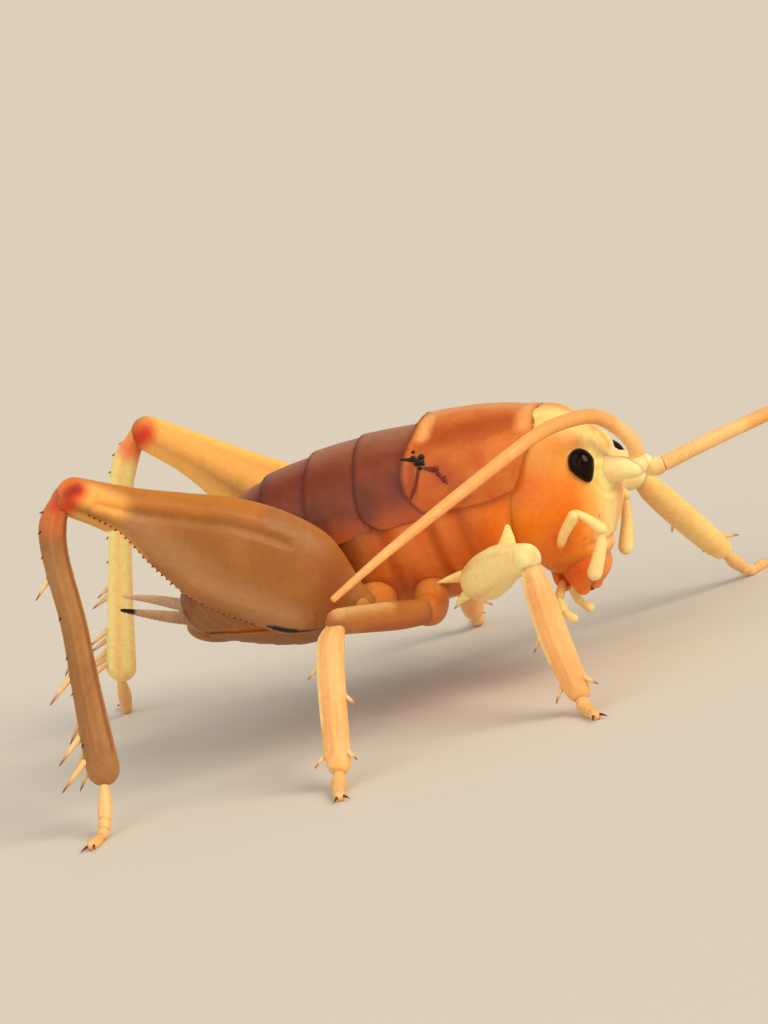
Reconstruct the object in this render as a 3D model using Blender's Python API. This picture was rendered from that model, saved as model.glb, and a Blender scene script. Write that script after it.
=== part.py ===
"""A sand-treader camel cricket at life size, standing still on six feet.

The animal faces +X, its left side is +Y, and its feet rest on Z = 0. Lengths are in metres.
The trunk and the head are lofted round forms, and every limb is a tube along its own path.
A piece that grows from another is cut clear of it, so that a narrow gap is left between them.
"""

import math

import bmesh
import bpy
from mathutils import Matrix, Vector

MM = 0.001
GAP = 0.3 * MM

# The animal's own axes start under the middle of the pronotum. This moves the middle of the
# whole stance, feelers included, onto the origin.
STANCE_CENTRE = Vector((-0.67, -0.11, 0.0)) * MM

# Trunk: distance forward, height of the back, height of the belly and half width, in mm.
TRUNK_STATIONS = (
    (-17.7, 7.4, 5.75, 1.0),
    (-17.1, 8.05, 5.45, 1.6),
    (-16.1, 9.2, 5.1, 2.35),
    (-14.8, 10.6, 4.65, 3.1),
    (-13.1, 11.9, 4.25, 3.7),
    (-11.2, 12.85, 4.15, 4.1),
    (-9.0, 13.42, 4.3, 4.25),
    (-6.3, 13.7, 4.6, 4.15),
    (-3.6, 13.7, 4.85, 3.95),
    (-1.0, 13.65, 5.0, 3.75),
    (1.2, 13.42, 5.3, 3.45),
    (3.4, 12.9, 5.8, 3.0),
)
TRUNK_SIDES = 24
WIDEST_HEIGHT = 0.47
SECTION_POWER = 2.15

# Pronotum: the saddle plate stands a little proud of the trunk under it.
PRONOTUM_STATIONS = (
    (-4.6, 14.08, 5.0, 4.2),
    (-2.8, 14.12, 5.0, 4.15),
    (0.0, 13.9, 5.0, 3.95),
    (1.5, 13.6, 5.2, 3.65),
    (3.4, 13.15, 5.5, 3.25),
)
# Its outline from the side, from the rear edge down round the side lobe to the front edge.
PRONOTUM_EDGE = (
    (-2.85, 14.6),
    (-3.4, 13.3),
    (-3.85, 12.1),
    (-3.95, 11.2),
    (-3.7, 10.45),
    (-2.9, 10.0),
    (-1.2, 9.8),
    (0.4, 9.95),
    (1.4, 10.3),
    (2.1, 11.1),
    (2.6, 12.1),
    (2.85, 13.0),
)
PLATE_CEILING = 18.0

# The two plates behind it, by their rear edges, and the height of their side margins.
MESONOTUM_REAR = -6.35
METANOTUM_REAR = -9.0
NOTUM_MARGIN = 9.8
NOTUM_CORNER = 1.1

# Abdomen: the rear edge of each ring along the back, and how far the last ring leans.
ABDOMEN_EDGES = (-9.0, -11.2, -12.95, -14.15, -15.1, -15.85, -16.5, -17.05)
TAIL_END = -17.6
ABDOMEN_LEAN = 24.0
RING_FLARE = 0.12

UNDERSIDE_FRONT = 0.8

# Head: height, front and rear of each level, and half width, in mm, before it is turned.
HEAD_LEVELS = (
    (5.3, 4.3, 1.45, 1.85),
    (5.9, 4.65, 1.2, 2.3),
    (6.8, 5.15, 0.8, 2.75),
    (7.8, 5.6, 0.65, 3.02),
    (8.9, 5.82, 0.7, 3.12),
    (10.0, 5.75, 0.8, 3.05),
    (11.0, 5.42, 0.9, 2.85),
    (11.8, 4.98, 0.9, 2.55),
    (12.5, 4.35, 1.0, 2.05),
    (13.0, 3.7, 1.2, 1.45),
    (13.25, 3.1, 1.6, 0.8),
)
HEAD_SIDES = 24
# Powers that round the head's front and square its rear, seen from above.
HEAD_ROUND = 0.92
HEAD_SQUARE = 0.7
NECK = Vector((2.0, 0.0, 9.5))
HEAD_YAW = -3.0
HEAD_ROLL = -6.0

# Eye: centre on the right side, and half sizes along its height, width and depth.
EYE_CENTRE = Vector((4.78, -2.5, 10.1))
EYE_OUT = Vector((0.5, -0.86, 0.12))
EYE_DOWN = Vector((0.2, 0.0, -0.98))
EYE_HALF_HEIGHT = 0.82
EYE_HALF_WIDTH = 0.64
EYE_HALF_DEPTH = 0.6

COLOURS = {
    "face": (0.86, 0.42, 0.13),
    "eye": (0.01, 0.008, 0.008),
    "mouth": (0.35, 0.1, 0.03),
    "back": (0.72, 0.31, 0.12),
    "belly": (0.5, 0.26, 0.16),
    "leg": (0.86, 0.66, 0.36),
    "thigh": (0.72, 0.46, 0.22),
    "feeler": (0.84, 0.48, 0.26),
}


def at(x, y, z):
    """A point given in mm from the animal's own axes."""
    return Vector((x, y, z)) * MM - STANCE_CENTRE


def read(stations, x):
    """The row of sizes at x, on a smooth curve through the stations."""
    last = len(stations) - 2
    index = 0
    while index < last and x > stations[index + 1][0]:
        index += 1
    before = stations[max(index - 1, 0)]
    left = stations[index]
    right = stations[index + 1]
    after = stations[min(index + 2, last + 1)]
    span = right[0] - left[0]
    u = min(max((x - left[0]) / span, 0.0), 1.0)
    row = []
    for column in range(1, len(left)):
        rise_left = (right[column] - before[column]) / (right[0] - before[0]) * span
        rise_right = (after[column] - left[column]) / (after[0] - left[0]) * span
        value = (2 * u**3 - 3 * u**2 + 1) * left[column]
        value += (u**3 - 2 * u**2 + u) * rise_left
        value += (3 * u**2 - 2 * u**3) * right[column]
        value += (u**3 - u**2) * rise_right
        row.append(value)
    return row


def power(value, exponent):
    return math.copysign(abs(value) ** exponent, value)


def paint(node, colour, roughness):
    material = bpy.data.materials.new(node.name)
    material.use_nodes = True
    shader = material.node_tree.nodes["Principled BSDF"]
    shader.inputs["Base Color"].default_value = (*COLOURS[colour], 1.0)
    shader.inputs["Roughness"].default_value = roughness
    shader.inputs["Metallic"].default_value = 0.0
    node.data.materials.clear()
    node.data.materials.append(material)


def skin(name, rings):
    """A closed solid through rings of points, each with the same number of points."""
    mesh = bpy.data.meshes.new(name)
    bm = bmesh.new()
    rows = []
    for ring in rings:
        rows.append([bm.verts.new(point) for point in ring])
    count = len(rows[0])
    for near, far in zip(rows, rows[1:]):
        for i in range(count):
            j = (i + 1) % count
            bm.faces.new((near[i], near[j], far[j], far[i]))
    for row in (rows[0], rows[-1]):
        middle = sum((vert.co for vert in row), Vector()) / count
        pole = bm.verts.new(middle)
        for i in range(count):
            bm.faces.new((row[i], row[(i + 1) % count], pole))
    bmesh.ops.recalc_face_normals(bm, faces=bm.faces)
    bmesh.ops.triangulate(bm, faces=bm.faces)
    bm.to_mesh(mesh)
    bm.free()
    node = bpy.data.objects.new(name, mesh)
    bpy.context.collection.objects.link(node)
    return node


def bake(node):
    """Applies the node's modifiers to its mesh."""
    graph = bpy.context.evaluated_depsgraph_get()
    shaped = bpy.data.meshes.new_from_object(node.evaluated_get(graph))
    node.modifiers.clear()
    node.data = shaped


def boolean(node, tool, operation):
    """Cuts the node by the tool, or keeps what they share, and removes the tool."""
    modifier = node.modifiers.new("Shape", "BOOLEAN")
    modifier.object = tool
    modifier.operation = operation
    modifier.solver = "EXACT"
    bake(node)
    bpy.data.objects.remove(tool)


def keep_largest(node):
    """Leaves only the largest closed surface of the node."""
    bm = bmesh.new()
    bm.from_mesh(node.data)
    bm.faces.ensure_lookup_table()
    unseen = set(bm.faces)
    shells = []
    while unseen:
        front = [unseen.pop()]
        shell = list(front)
        while front:
            face = front.pop()
            for edge in face.edges:
                for other in edge.link_faces:
                    if other in unseen:
                        unseen.remove(other)
                        front.append(other)
                        shell.append(other)
        shells.append(shell)
    shells.sort(key=lambda shell: sum(face.calc_area() for face in shell))
    loose = [face for shell in shells[:-1] for face in shell]
    bmesh.ops.delete(bm, geom=loose, context="FACES")
    bm.to_mesh(node.data)
    bm.free()


def finish(node, colour, roughness=0.4):
    keep_largest(node)
    node.data.shade_smooth()
    node.data.set_sharp_from_angle(angle=math.radians(40))
    paint(node, colour, roughness)
    return node


def section(stations, x, grow, lean):
    """One ring round the trunk at x. It leans so that its top is further back."""
    top, bottom, half_width = read(stations, x)
    top += grow
    bottom -= grow
    half_width += grow
    widest = bottom + WIDEST_HEIGHT * (top - bottom)
    ring = []
    for i in range(TRUNK_SIDES):
        angle = 2 * math.pi * (i + 0.5) / TRUNK_SIDES
        across = power(math.cos(angle), 2 / SECTION_POWER)
        rise = power(math.sin(angle), 2 / SECTION_POWER)
        height = top - widest if rise > 0 else widest - bottom
        back = height * rise * math.tan(math.radians(lean))
        ring.append(at(x - back, half_width * across, widest + height * rise))
    return ring


def trunk(name, stations, places, grow=0.0, lean=0.0):
    return skin(name, [section(stations, x, grow, lean) for x in places])


def steps(first, last, count):
    return [first + (last - first) * i / (count - 1) for i in range(count)]


def prism(name, outline):
    """A block with this outline seen from the side, wider than the animal."""
    reach = 8.0
    sides = (-reach, reach)
    return skin(name, [[at(x, y, z) for x, z in outline] for y in sides])


def swollen(outline, middle, grow):
    """The side outline moved outwards by grow, away from its middle."""
    moved = []
    count = len(outline)
    for i in range(count):
        before = Vector(outline[i - 1])
        after = Vector(outline[(i + 1) % count])
        along = (after - before).normalized()
        out = Vector((along[1], -along[0]))
        point = Vector(outline[i])
        if out.dot(point - Vector(middle)) < 0:
            out = -out
        moved.append(tuple(point + out * grow))
    return moved


def pronotum_outline(grow):
    edge = list(PRONOTUM_EDGE)
    edge.append((PRONOTUM_EDGE[-1][0], PLATE_CEILING))
    edge.append((PRONOTUM_EDGE[0][0], PLATE_CEILING))
    return swollen(edge, (-0.5, 13.0), grow)


def notum_outline(front, rear, grow):
    """The side outline of a plate with a rounded rear lower corner."""
    margin = NOTUM_MARGIN - grow
    front += grow
    rear -= grow
    outline = [(front, PLATE_CEILING), (front, margin)]
    for i in range(5):
        angle = math.pi / 2 * i / 4
        x = rear + NOTUM_CORNER * (1 - math.sin(angle))
        z = margin + NOTUM_CORNER * (1 - math.cos(angle))
        outline.append((x, z))
    outline.append((rear, PLATE_CEILING))
    return outline


def body_plates():
    gap = GAP / MM
    pronotum = trunk("pronotum", PRONOTUM_STATIONS, steps(-4.5, 3.3, 9))
    boolean(pronotum, prism("edge", pronotum_outline(0.0)), "INTERSECT")
    finish(pronotum, "back")

    fronts = {"mesonotum": -2.0, "metanotum": MESONOTUM_REAR - gap}
    rears = {"mesonotum": MESONOTUM_REAR, "metanotum": METANOTUM_REAR}
    for name, front in fronts.items():
        rear = rears[name]
        plate = trunk(name, TRUNK_STATIONS, steps(rear - 0.5, front + 0.5, 6), grow=0.05)
        boolean(plate, prism("edge", notum_outline(front, rear, 0.0)), "INTERSECT")
        if name == "mesonotum":
            boolean(plate, prism("edge", pronotum_outline(gap)), "DIFFERENCE")
        finish(plate, "back")

    places = steps(METANOTUM_REAR, UNDERSIDE_FRONT, 8)
    underside = trunk("thorax_underside", TRUNK_STATIONS, places)
    boolean(underside, prism("edge", pronotum_outline(gap)), "DIFFERENCE")
    outline = notum_outline(0.0, METANOTUM_REAR, gap)
    outline[0] = (1.0, PLATE_CEILING)
    outline[1] = (1.0, NOTUM_MARGIN - gap)
    boolean(underside, prism("edge", outline), "DIFFERENCE")
    finish(underside, "back")


def abdomen():
    gap = GAP / MM
    span = ABDOMEN_EDGES[0] - TAIL_END
    edges = list(ABDOMEN_EDGES) + [TAIL_END]
    for number, (front, rear) in enumerate(zip(edges, edges[1:]), start=1):
        front -= gap
        lean_front = ABDOMEN_LEAN * (edges[0] - front) / span
        lean_rear = ABDOMEN_LEAN * (edges[0] - rear) / span
        rings = []
        for u in steps(0.0, 1.0, 3):
            x = front + (rear - front) * u
            lean = lean_front + (lean_rear - lean_front) * u
            swell = RING_FLARE * math.sin(math.pi * min(u, 0.8) * 0.9)
            rings.append(section(TRUNK_STATIONS, x, swell, lean))
        name = f"abdomen_{number}" if rear != TAIL_END else "tail_plate"
        finish(skin(name, rings), "belly")


def head_turn():
    """The turn of the head about the neck, in mm."""
    yaw = Matrix.Rotation(math.radians(HEAD_YAW), 4, "Z")
    roll = Matrix.Rotation(math.radians(HEAD_ROLL), 4, "X")
    to_neck = Matrix.Translation(NECK)
    return to_neck @ yaw @ roll @ to_neck.inverted()


def on_head(x, y, z):
    """A point given in mm on the head before it is turned."""
    return at(*(head_turn() @ Vector((x, y, z))))


def head_ring(z, grow):
    front, rear, half_width = read(HEAD_LEVELS, z)
    middle = (front + rear) / 2
    half_depth = (front - rear) / 2 + grow
    half_width += grow
    ring = []
    for i in range(HEAD_SIDES):
        angle = 2 * math.pi * (i + 0.5) / HEAD_SIDES
        shape = HEAD_ROUND if math.cos(angle) > 0 else HEAD_SQUARE
        x = middle + half_depth * power(math.cos(angle), shape)
        y = half_width * power(math.sin(angle), shape)
        ring.append((x, y, z))
    return ring


def head_form(name, grow):
    bottom = HEAD_LEVELS[0][0]
    top = HEAD_LEVELS[-1][0]
    rings = []
    for z in steps(bottom, top, 12):
        ring = head_ring(z, grow)
        lift = 0.0
        if z == bottom:
            lift = -grow
        if z == top:
            lift = grow
        rings.append([on_head(x, y, z + lift) for x, y, z in ring])
    return skin(name, rings)


def eye_form(name, side, grow):
    """A drop-shaped eye. Its point is at the lower front."""
    out = EYE_OUT.normalized()
    down = (EYE_DOWN - out * EYE_DOWN.dot(out)).normalized()
    across = out.cross(down)
    rings = []
    for i in range(1, 9):
        tilt = math.pi * i / 9
        ring = []
        for j in range(16):
            turn = 2 * math.pi * j / 16
            round_down = math.sin(tilt) * math.cos(turn)
            round_across = math.sin(tilt) * math.sin(turn)
            narrow = 1.0 - 0.38 * max(round_down, 0.0)
            point = EYE_CENTRE + out * (EYE_HALF_DEPTH + grow) * math.cos(tilt)
            point = point + down * (EYE_HALF_HEIGHT * (1.0 + 0.14 * max(round_down, 0.0)) + grow) * round_down
            point = point + across * (EYE_HALF_WIDTH * narrow + grow) * round_across
            ring.append(on_head(point[0], point[1] * side, point[2]))
        rings.append(ring)
    return skin(name, rings)


def head():
    gap = GAP / MM
    skull = head_form("head", 0.0)
    boolean(skull, prism("edge", pronotum_outline(gap)), "DIFFERENCE")
    back = UNDERSIDE_FRONT + gap
    block = [(back, 3.0), (back, 15.0), (-4.0, 15.0), (-4.0, 3.0)]
    boolean(skull, prism("edge", block), "DIFFERENCE")
    for side, word in ((1, "right"), (-1, "left")):
        boolean(skull, eye_form("socket", side, gap), "DIFFERENCE")
        finish(eye_form(f"eye_{word}", side, 0.0), "eye", 0.05)
    finish(skull, "face")


def smooth_path(points, count):
    """Points at even steps of parameter along a smooth curve through the given ones."""
    rows = [(float(i), *point) for i, point in enumerate(points)]
    return [Vector(read(rows, u)) for u in steps(0.0, len(points) - 1.0, count)]


def limb_places(points, sizes, count, up):
    """Each step along a limb: its middle, its three directions and its two half sizes."""
    path = smooth_path(points, count)
    size_rows = [(float(i), *size) for i, size in enumerate(sizes)]
    places = []
    for i, point in enumerate(path):
        along = (path[min(i + 1, count - 1)] - path[max(i - 1, 0)]).normalized()
        wide = along.cross(Vector(up)).normalized()
        deep = wide.cross(along)
        half_depth, half_width = read(size_rows, i / (count - 1) * (len(sizes) - 1))
        places.append((point, along, wide, deep, half_depth, half_width))
    return places


def limb(name, points, sizes, sides=8, count=8, up=(0, 0, 1), grow=0.0):
    """A tube with domed ends, in mm, along points, with (half depth, half width) sizes.

    Half depth lies in the plane of the path and the up direction. With grow it is
    larger all round.
    """
    rings = []
    for i, place in enumerate(limb_places(points, sizes, count, up)):
        point, along, wide, deep, half_depth, half_width = place
        half_depth += grow
        half_width += grow
        ends = {0: (-1, (66, 33)), count - 1: (1, (33, 66))}
        sign, domes = ends.get(i, (0, ()))
        stations = [(0.0, 1.0)]
        for angle in domes:
            ahead = sign * half_depth * math.sin(math.radians(angle))
            stations.append((ahead, math.cos(math.radians(angle))))
        stations.sort()
        for ahead, shrink in stations:
            ring = []
            for j in range(sides):
                turn = 2 * math.pi * j / sides
                offset = deep * half_depth * shrink * math.cos(turn)
                offset = offset + wide * half_width * shrink * math.sin(turn)
                ring.append(at(*(point + along * ahead + offset)))
            rings.append(ring)
    return skin(name, rings)


def thigh_rows(upper, lower, thick):
    return [(float(i), *row) for i, row in enumerate(zip(upper, lower, thick))]


def thigh_axes(hip, knee):
    """The directions along, across and upwards from the line from hip to knee."""
    along = (Vector(knee) - Vector(hip)).normalized()
    wide = along.cross(Vector((0, 0, 1))).normalized()
    return along, wide, wide.cross(along)


def femur_form(name, hip, knee, upper, lower, thick, sides, grow=0.0):
    """A thigh on the straight line from hip to knee.

    upper, lower and thick are its heights above and below that line and its half
    thickness, at even steps from hip to knee.
    """
    along, wide, deep = thigh_axes(hip, knee)
    rows = thigh_rows(upper, lower, thick)
    last = len(rows) - 1
    places = [(u, 0.0, 1.0) for u in steps(0.0, float(last), THIGH_STEPS)]
    for angle in (33, 66):
        dome = math.sin(math.radians(angle))
        shrink = math.cos(math.radians(angle))
        places.insert(0, (0.0, -dome, shrink))
        places.append((float(last), dome, shrink))
    rings = []
    for u, dome, shrink in places:
        above, below, half_width = read(rows, u)
        above += grow
        below += grow
        half_width += grow
        middle = Vector(hip).lerp(Vector(knee), u / last) + along * dome * (above + below) / 2
        ring = []
        for j in range(sides):
            turn = 2 * math.pi * j / sides
            height = above if math.cos(turn) > 0 else below
            offset = deep * height * shrink * math.cos(turn)
            offset = offset + wide * half_width * shrink * math.sin(turn)
            ring.append(at(*(middle + offset)))
        rings.append(ring)
    return skin(name, rings)


def flatten(node):
    """Cuts the node off level with the floor."""
    bm = bmesh.new()
    bm.from_mesh(node.data)
    geometry = bm.verts[:] + bm.edges[:] + bm.faces[:]
    cut = bmesh.ops.bisect_plane(
        bm, geom=geometry, plane_co=(0, 0, 0), plane_no=(0, 0, -1), clear_outer=True
    )
    rim = [item for item in cut["geom_cut"] if isinstance(item, bmesh.types.BMEdge)]
    filled = bmesh.ops.contextual_create(bm, geom=rim)
    bmesh.ops.triangulate(bm, faces=filled["faces"])
    bmesh.ops.recalc_face_normals(bm, faces=bm.faces)
    bm.to_mesh(node.data)
    bm.free()


def thorn(root, tip, half_base):
    """A spine in mm, from its root inside what it grows from to its sharp tip."""
    along = (tip - root).normalized()
    side = along.orthogonal().normalized()
    other = along.cross(side)
    mesh = bpy.data.meshes.new("thorn")
    bm = bmesh.new()
    base = []
    for i in range(SPINE_SIDES):
        turn = 2 * math.pi * i / SPINE_SIDES
        offset = (side * math.cos(turn) + other * math.sin(turn)) * half_base
        base.append(bm.verts.new(at(*(root + offset))))
    point = bm.verts.new(at(*tip))
    for near, far in zip(base, base[1:] + base[:1]):
        bm.faces.new((near, far, point))
    bm.faces.new(base)
    bmesh.ops.recalc_face_normals(bm, faces=bm.faces)
    bmesh.ops.triangulate(bm, faces=bm.faces)
    bm.to_mesh(mesh)
    bm.free()
    node = bpy.data.objects.new("thorn", mesh)
    bpy.context.collection.objects.link(node)
    return node


def fuse(node, pieces):
    """Joins the pieces to the node as one body, and removes them."""
    group = bpy.data.collections.new("pieces")
    for piece in pieces:
        group.objects.link(piece)
    modifier = node.modifiers.new("Join", "BOOLEAN")
    modifier.operand_type = "COLLECTION"
    modifier.collection = group
    modifier.operation = "UNION"
    modifier.solver = "EXACT"
    bake(node)
    for piece in pieces:
        bpy.data.objects.remove(piece)
    bpy.data.collections.remove(group)


# Legs: coxa path, hip, knee, tibia path from the knee and tarsus path, in mm.
LEGS = {
    "hind_right": {
        "coxa": ((-6.7, -2.4, 6.6), (-6.9, -4.6, 6.2), (-7.1, -5.7, 6.7)),
        "hip": (-7.1, -5.7, 6.7),
        "knee": (-17.95, -9.55, 15.8),
        "tibia": (
            (-18.45, -9.6, 15.9),
            (-19.4, -9.65, 14.6),
            (-19.7, -9.8, 12.9),
            (-19.6, -10.25, 9.9),
            (-19.7, -10.9, 6.6),
            (-19.65, -12.0, 2.8),
        ),
        "tarsus": (
            (-19.7, -12.35, 2.1),
            (-19.75, -13.2, 0.95),
            (-19.8, -14.1, 0.26),
            (-19.9, -15.5, 0.2),
        ),
    },
    "hind_left": {
        "coxa": ((-7.0, 2.4, 6.4), (-7.2, 4.6, 5.6), (-7.4, 5.7, 5.8)),
        "hip": (-7.4, 5.7, 5.8),
        "knee": (-19.9, 8.15, 15.1),
        "tibia": (
            (-20.35, 8.2, 15.25),
            (-21.5, 8.3, 14.1),
            (-22.5, 8.6, 12.2),
            (-23.65, 9.1, 9.1),
            (-24.7, 9.55, 6.1),
            (-25.8, 10.0, 2.9),
        ),
        "tarsus": (
            (-26.1, 10.3, 2.2),
            (-26.5, 11.1, 1.0),
            (-26.9, 11.9, 0.26),
            (-27.5, 13.2, 0.2),
        ),
    },
    "mid_right": {
        "coxa": ((-4.1, -2.2, 6.4), (-4.1, -3.7, 5.5), (-4.1, -4.6, 5.4)),
        "hip": (-4.1, -4.6, 5.4),
        "knee": (-6.9, -10.0, 6.95),
        "tibia": ((-7.0, -10.2, 6.8), (-7.3, -11.1, 5.8), (-7.5, -12.4, 3.4), (-7.6, -13.6, 1.1)),
        "tarsus": ((-7.6, -13.85, 0.8), (-7.6, -14.5, 0.32), (-7.45, -15.3, 0.2), (-7.15, -16.1, 0.2)),
    },
    "mid_left": {
        "coxa": ((-4.1, 2.2, 6.4), (-4.1, 3.7, 5.5), (-4.1, 4.6, 5.6)),
        "hip": (-4.1, 4.6, 5.6),
        "knee": (-5.7, 10.4, 7.4),
        "tibia": ((-5.75, 10.6, 7.25), (-6.25, 11.6, 6.0), (-6.7, 12.6, 3.4), (-7.1, 13.5, 1.1)),
        "tarsus": ((-7.15, 13.75, 0.8), (-7.3, 14.4, 0.32), (-7.45, 15.2, 0.2), (-7.6, 15.9, 0.2)),
    },
    "front_right": {
        "coxa": ((0.6, -4.1, 8.6), (0.1, -4.1, 7.7), (-0.5, -3.9, 6.9), (-0.9, -4.0, 6.5)),
        "hip": (-1.3, -4.3, 6.2),
        "knee": (2.3, -7.8, 7.5),
        "tibia": ((2.4, -7.95, 7.3), (2.6, -8.45, 5.6), (2.85, -8.8, 3.4), (3.3, -9.1, 1.1)),
        "tarsus": ((3.35, -9.25, 0.8), (3.55, -9.65, 0.32), (3.9, -10.3, 0.2), (4.3, -11.0, 0.2)),
    },
    "front_left": {
        "coxa": ((0.9, 4.1, 8.6), (0.5, 4.1, 8.0), (0.0, 3.9, 7.4), (-0.5, 4.0, 7.1)),
        "hip": (-0.7, 4.3, 6.9),
        "knee": (4.9, 6.5, 7.6),
        "tibia": ((5.05, 6.6, 7.5), (5.75, 7.4, 6.0), (6.6, 8.7, 4.1), (7.4, 10.1, 2.2)),
        "tarsus": ((7.5, 10.35, 1.9), (7.85, 11.3, 0.9), (8.2, 12.2, 0.26), (8.7, 13.5, 0.2)),
    },
}
# Thigh sizes at even steps from hip to knee: above and below the line, and half thickness.
# The hind pair are given one by one, because their slopes to the line differ.
THIGHS = {
    "hind_right": (
        (0.95, 2.6, 2.95, 2.7, 2.0, 1.3, 0.85),
        (0.95, 2.5, 2.7, 2.65, 1.95, 0.95, 0.8),
        (0.75, 1.4, 1.5, 1.3, 0.95, 0.7, 0.65),
    ),
    "hind_left": (
        (0.95, 2.4, 2.5, 2.05, 1.65, 1.35, 1.0),
        (0.95, 2.5, 2.75, 2.65, 1.85, 1.15, 0.95),
        (0.75, 1.4, 1.5, 1.3, 0.95, 0.72, 0.67),
    ),
    "mid": (
        (0.6, 0.66, 0.68, 0.7, 0.7, 0.7, 0.68),
        (0.6, 0.68, 0.72, 0.7, 0.66, 0.62, 0.6),
        (0.6, 0.72, 0.74, 0.7, 0.6, 0.55, 0.52),
    ),
    "front": (
        (1.05, 1.22, 1.28, 1.28, 1.15, 0.98, 0.78),
        (0.95, 1.08, 1.0, 0.82, 0.66, 0.66, 0.72),
        (0.9, 1.1, 1.12, 1.0, 0.85, 0.7, 0.65),
    ),
}
THIGH_STEPS = 9
THIGH_SIDES = {"hind": 16, "mid": 12, "front": 12}
SHINS = {
    "hind": ((0.6, 0.5), (0.68, 0.52), (0.64, 0.54), (0.63, 0.55), (0.7, 0.6), (0.84, 0.66)),
    "mid": ((0.6, 0.5), (0.66, 0.55), (0.66, 0.55), (0.6, 0.52)),
    "front": ((0.56, 0.5), (0.7, 0.58), (0.73, 0.62), (0.62, 0.56)),
}
SHIN_STEPS = {"hind": 10, "mid": 7, "front": 7}
SHIN_UP = (-1.0, 0.0, 0.01)
COXAE = {
    "hind": ((0.95, 0.95), (0.95, 0.95), (0.85, 0.85)),
    "mid": ((0.85, 0.85), (0.85, 0.85), (0.75, 0.75)),
    "front": ((0.3, 0.3), (0.5, 0.45), (0.75, 0.7), (0.75, 0.75)),
}
TARSUS_SIZES = ((0.34, 0.34), (0.31, 0.31), (0.32, 0.34), (0.27, 0.3))

# Spurs of each shin: share of the way down, turn outwards from the rear, and length in mm.
SPURS = {
    "hind": (
        (0.46, 25, 1.2),
        (0.72, -25, 0.85),
        (0.765, 25, 1.7),
        (0.87, -25, 1.5),
        (0.91, 25, 1.8),
        (0.945, -25, 1.6),
        (0.97, 32, 1.95),
        (0.985, -32, 1.6),
    ),
    "mid": ((0.42, 0, 0.75), (0.6, 180, 0.7), (0.94, 20, 0.8), (0.94, 160, 0.7)),
    "front": ((0.6, 0, 0.7), (0.94, 20, 0.85), (0.94, 160, 0.8)),
}
SPUR_DROOP = 40.0
SPUR_HALF_BASE = 0.26
SPINE_SIDES = 5

# Small teeth in one row under the hind thigh.
TEETH = 12
TEETH_SPAN = (0.5, 0.88)
TOOTH_HEIGHT = 0.25
TOOTH_HALF_BASE = 0.22
TOOTH_ROOT = 0.35

# The two claws of a foot.
CLAW_REACH = 0.6
CLAW_SPREAD = 0.26
CLAW_HALF_BASE = 0.15
CLAW_TIP_HEIGHT = 0.07


def spurs(kind, outward, points, sizes):
    """The spurs of one shin. outward is 1 on the left of the animal and -1 on the right."""
    fine = 51
    places = limb_places(points, sizes, fine, SHIN_UP)
    droop = math.radians(SPUR_DROOP)
    grown = []
    for share, turn, length in SPURS[kind]:
        point, along, wide, deep, half_depth, half_width = places[round(share * (fine - 1))]
        turn = math.radians(turn)
        spot = deep * half_depth * math.cos(turn) + wide * outward * half_width * math.sin(turn)
        lean = spot.normalized() * math.cos(droop) + along * math.sin(droop)
        grown.append(thorn(point + spot * 0.4, point + spot + lean * length, SPUR_HALF_BASE))
    return grown


def teeth(hip, knee, upper, lower, thick):
    along, wide, deep = thigh_axes(hip, knee)
    rows = thigh_rows(upper, lower, thick)
    grown = []
    for share in steps(*TEETH_SPAN, TEETH):
        below = read(rows, share * (len(rows) - 1))[1]
        edge = Vector(hip).lerp(Vector(knee), share) - deep * below
        grown.append(thorn(edge + deep * TOOTH_ROOT, edge - deep * TOOTH_HEIGHT, TOOTH_HALF_BASE))
    return grown


def claws(points):
    end = Vector(points[-1])
    along = (end - Vector(points[-2])).normalized()
    side = along.cross(Vector((0, 0, 1)))
    grown = []
    for spread in (CLAW_SPREAD, -CLAW_SPREAD):
        tip = end + along * CLAW_REACH + side * spread
        tip.z = CLAW_TIP_HEIGHT
        grown.append(thorn(end + side * spread * 0.3, tip, CLAW_HALF_BASE))
    return grown


def leg(name, joints):
    gap = GAP / MM
    kind, word = name.split("_")
    outward = 1 if word == "left" else -1
    sizes = THIGHS[name] if name in THIGHS else THIGHS[kind]
    thigh = (joints["hip"], joints["knee"], *sizes, THIGH_SIDES[kind])
    shin = {"points": joints["tibia"], "sizes": SHINS[kind], "sides": 10}
    shin.update(count=SHIN_STEPS[kind], up=SHIN_UP)
    foot = {"points": joints["tarsus"], "sizes": TARSUS_SIZES, "count": 6}

    coxa = limb(f"{name}_coxa", joints["coxa"], COXAE[kind], sides=10, count=5)
    boolean(coxa, trunk("body", TRUNK_STATIONS, steps(-9.6, 1.2, 9), grow=gap), "DIFFERENCE")
    boolean(coxa, femur_form("clearance", *thigh, grow=gap), "DIFFERENCE")
    finish(coxa, "leg")

    femur = femur_form(f"{name}_femur", *thigh)
    if kind == "hind":
        fuse(femur, teeth(joints["hip"], joints["knee"], *sizes))
    boolean(femur, limb("clearance", **shin, grow=gap), "DIFFERENCE")
    finish(femur, "thigh" if kind == "hind" else "leg")

    tibia = limb(f"{name}_tibia", **shin)
    fuse(tibia, spurs(kind, outward, joints["tibia"], SHINS[kind]))
    boolean(tibia, limb("clearance", **foot, grow=gap), "DIFFERENCE")
    finish(tibia, "leg")

    tarsus = limb(f"{name}_tarsus", **foot)
    fuse(tarsus, claws(joints["tarsus"]))
    flatten(tarsus)
    finish(tarsus, "leg")


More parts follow.
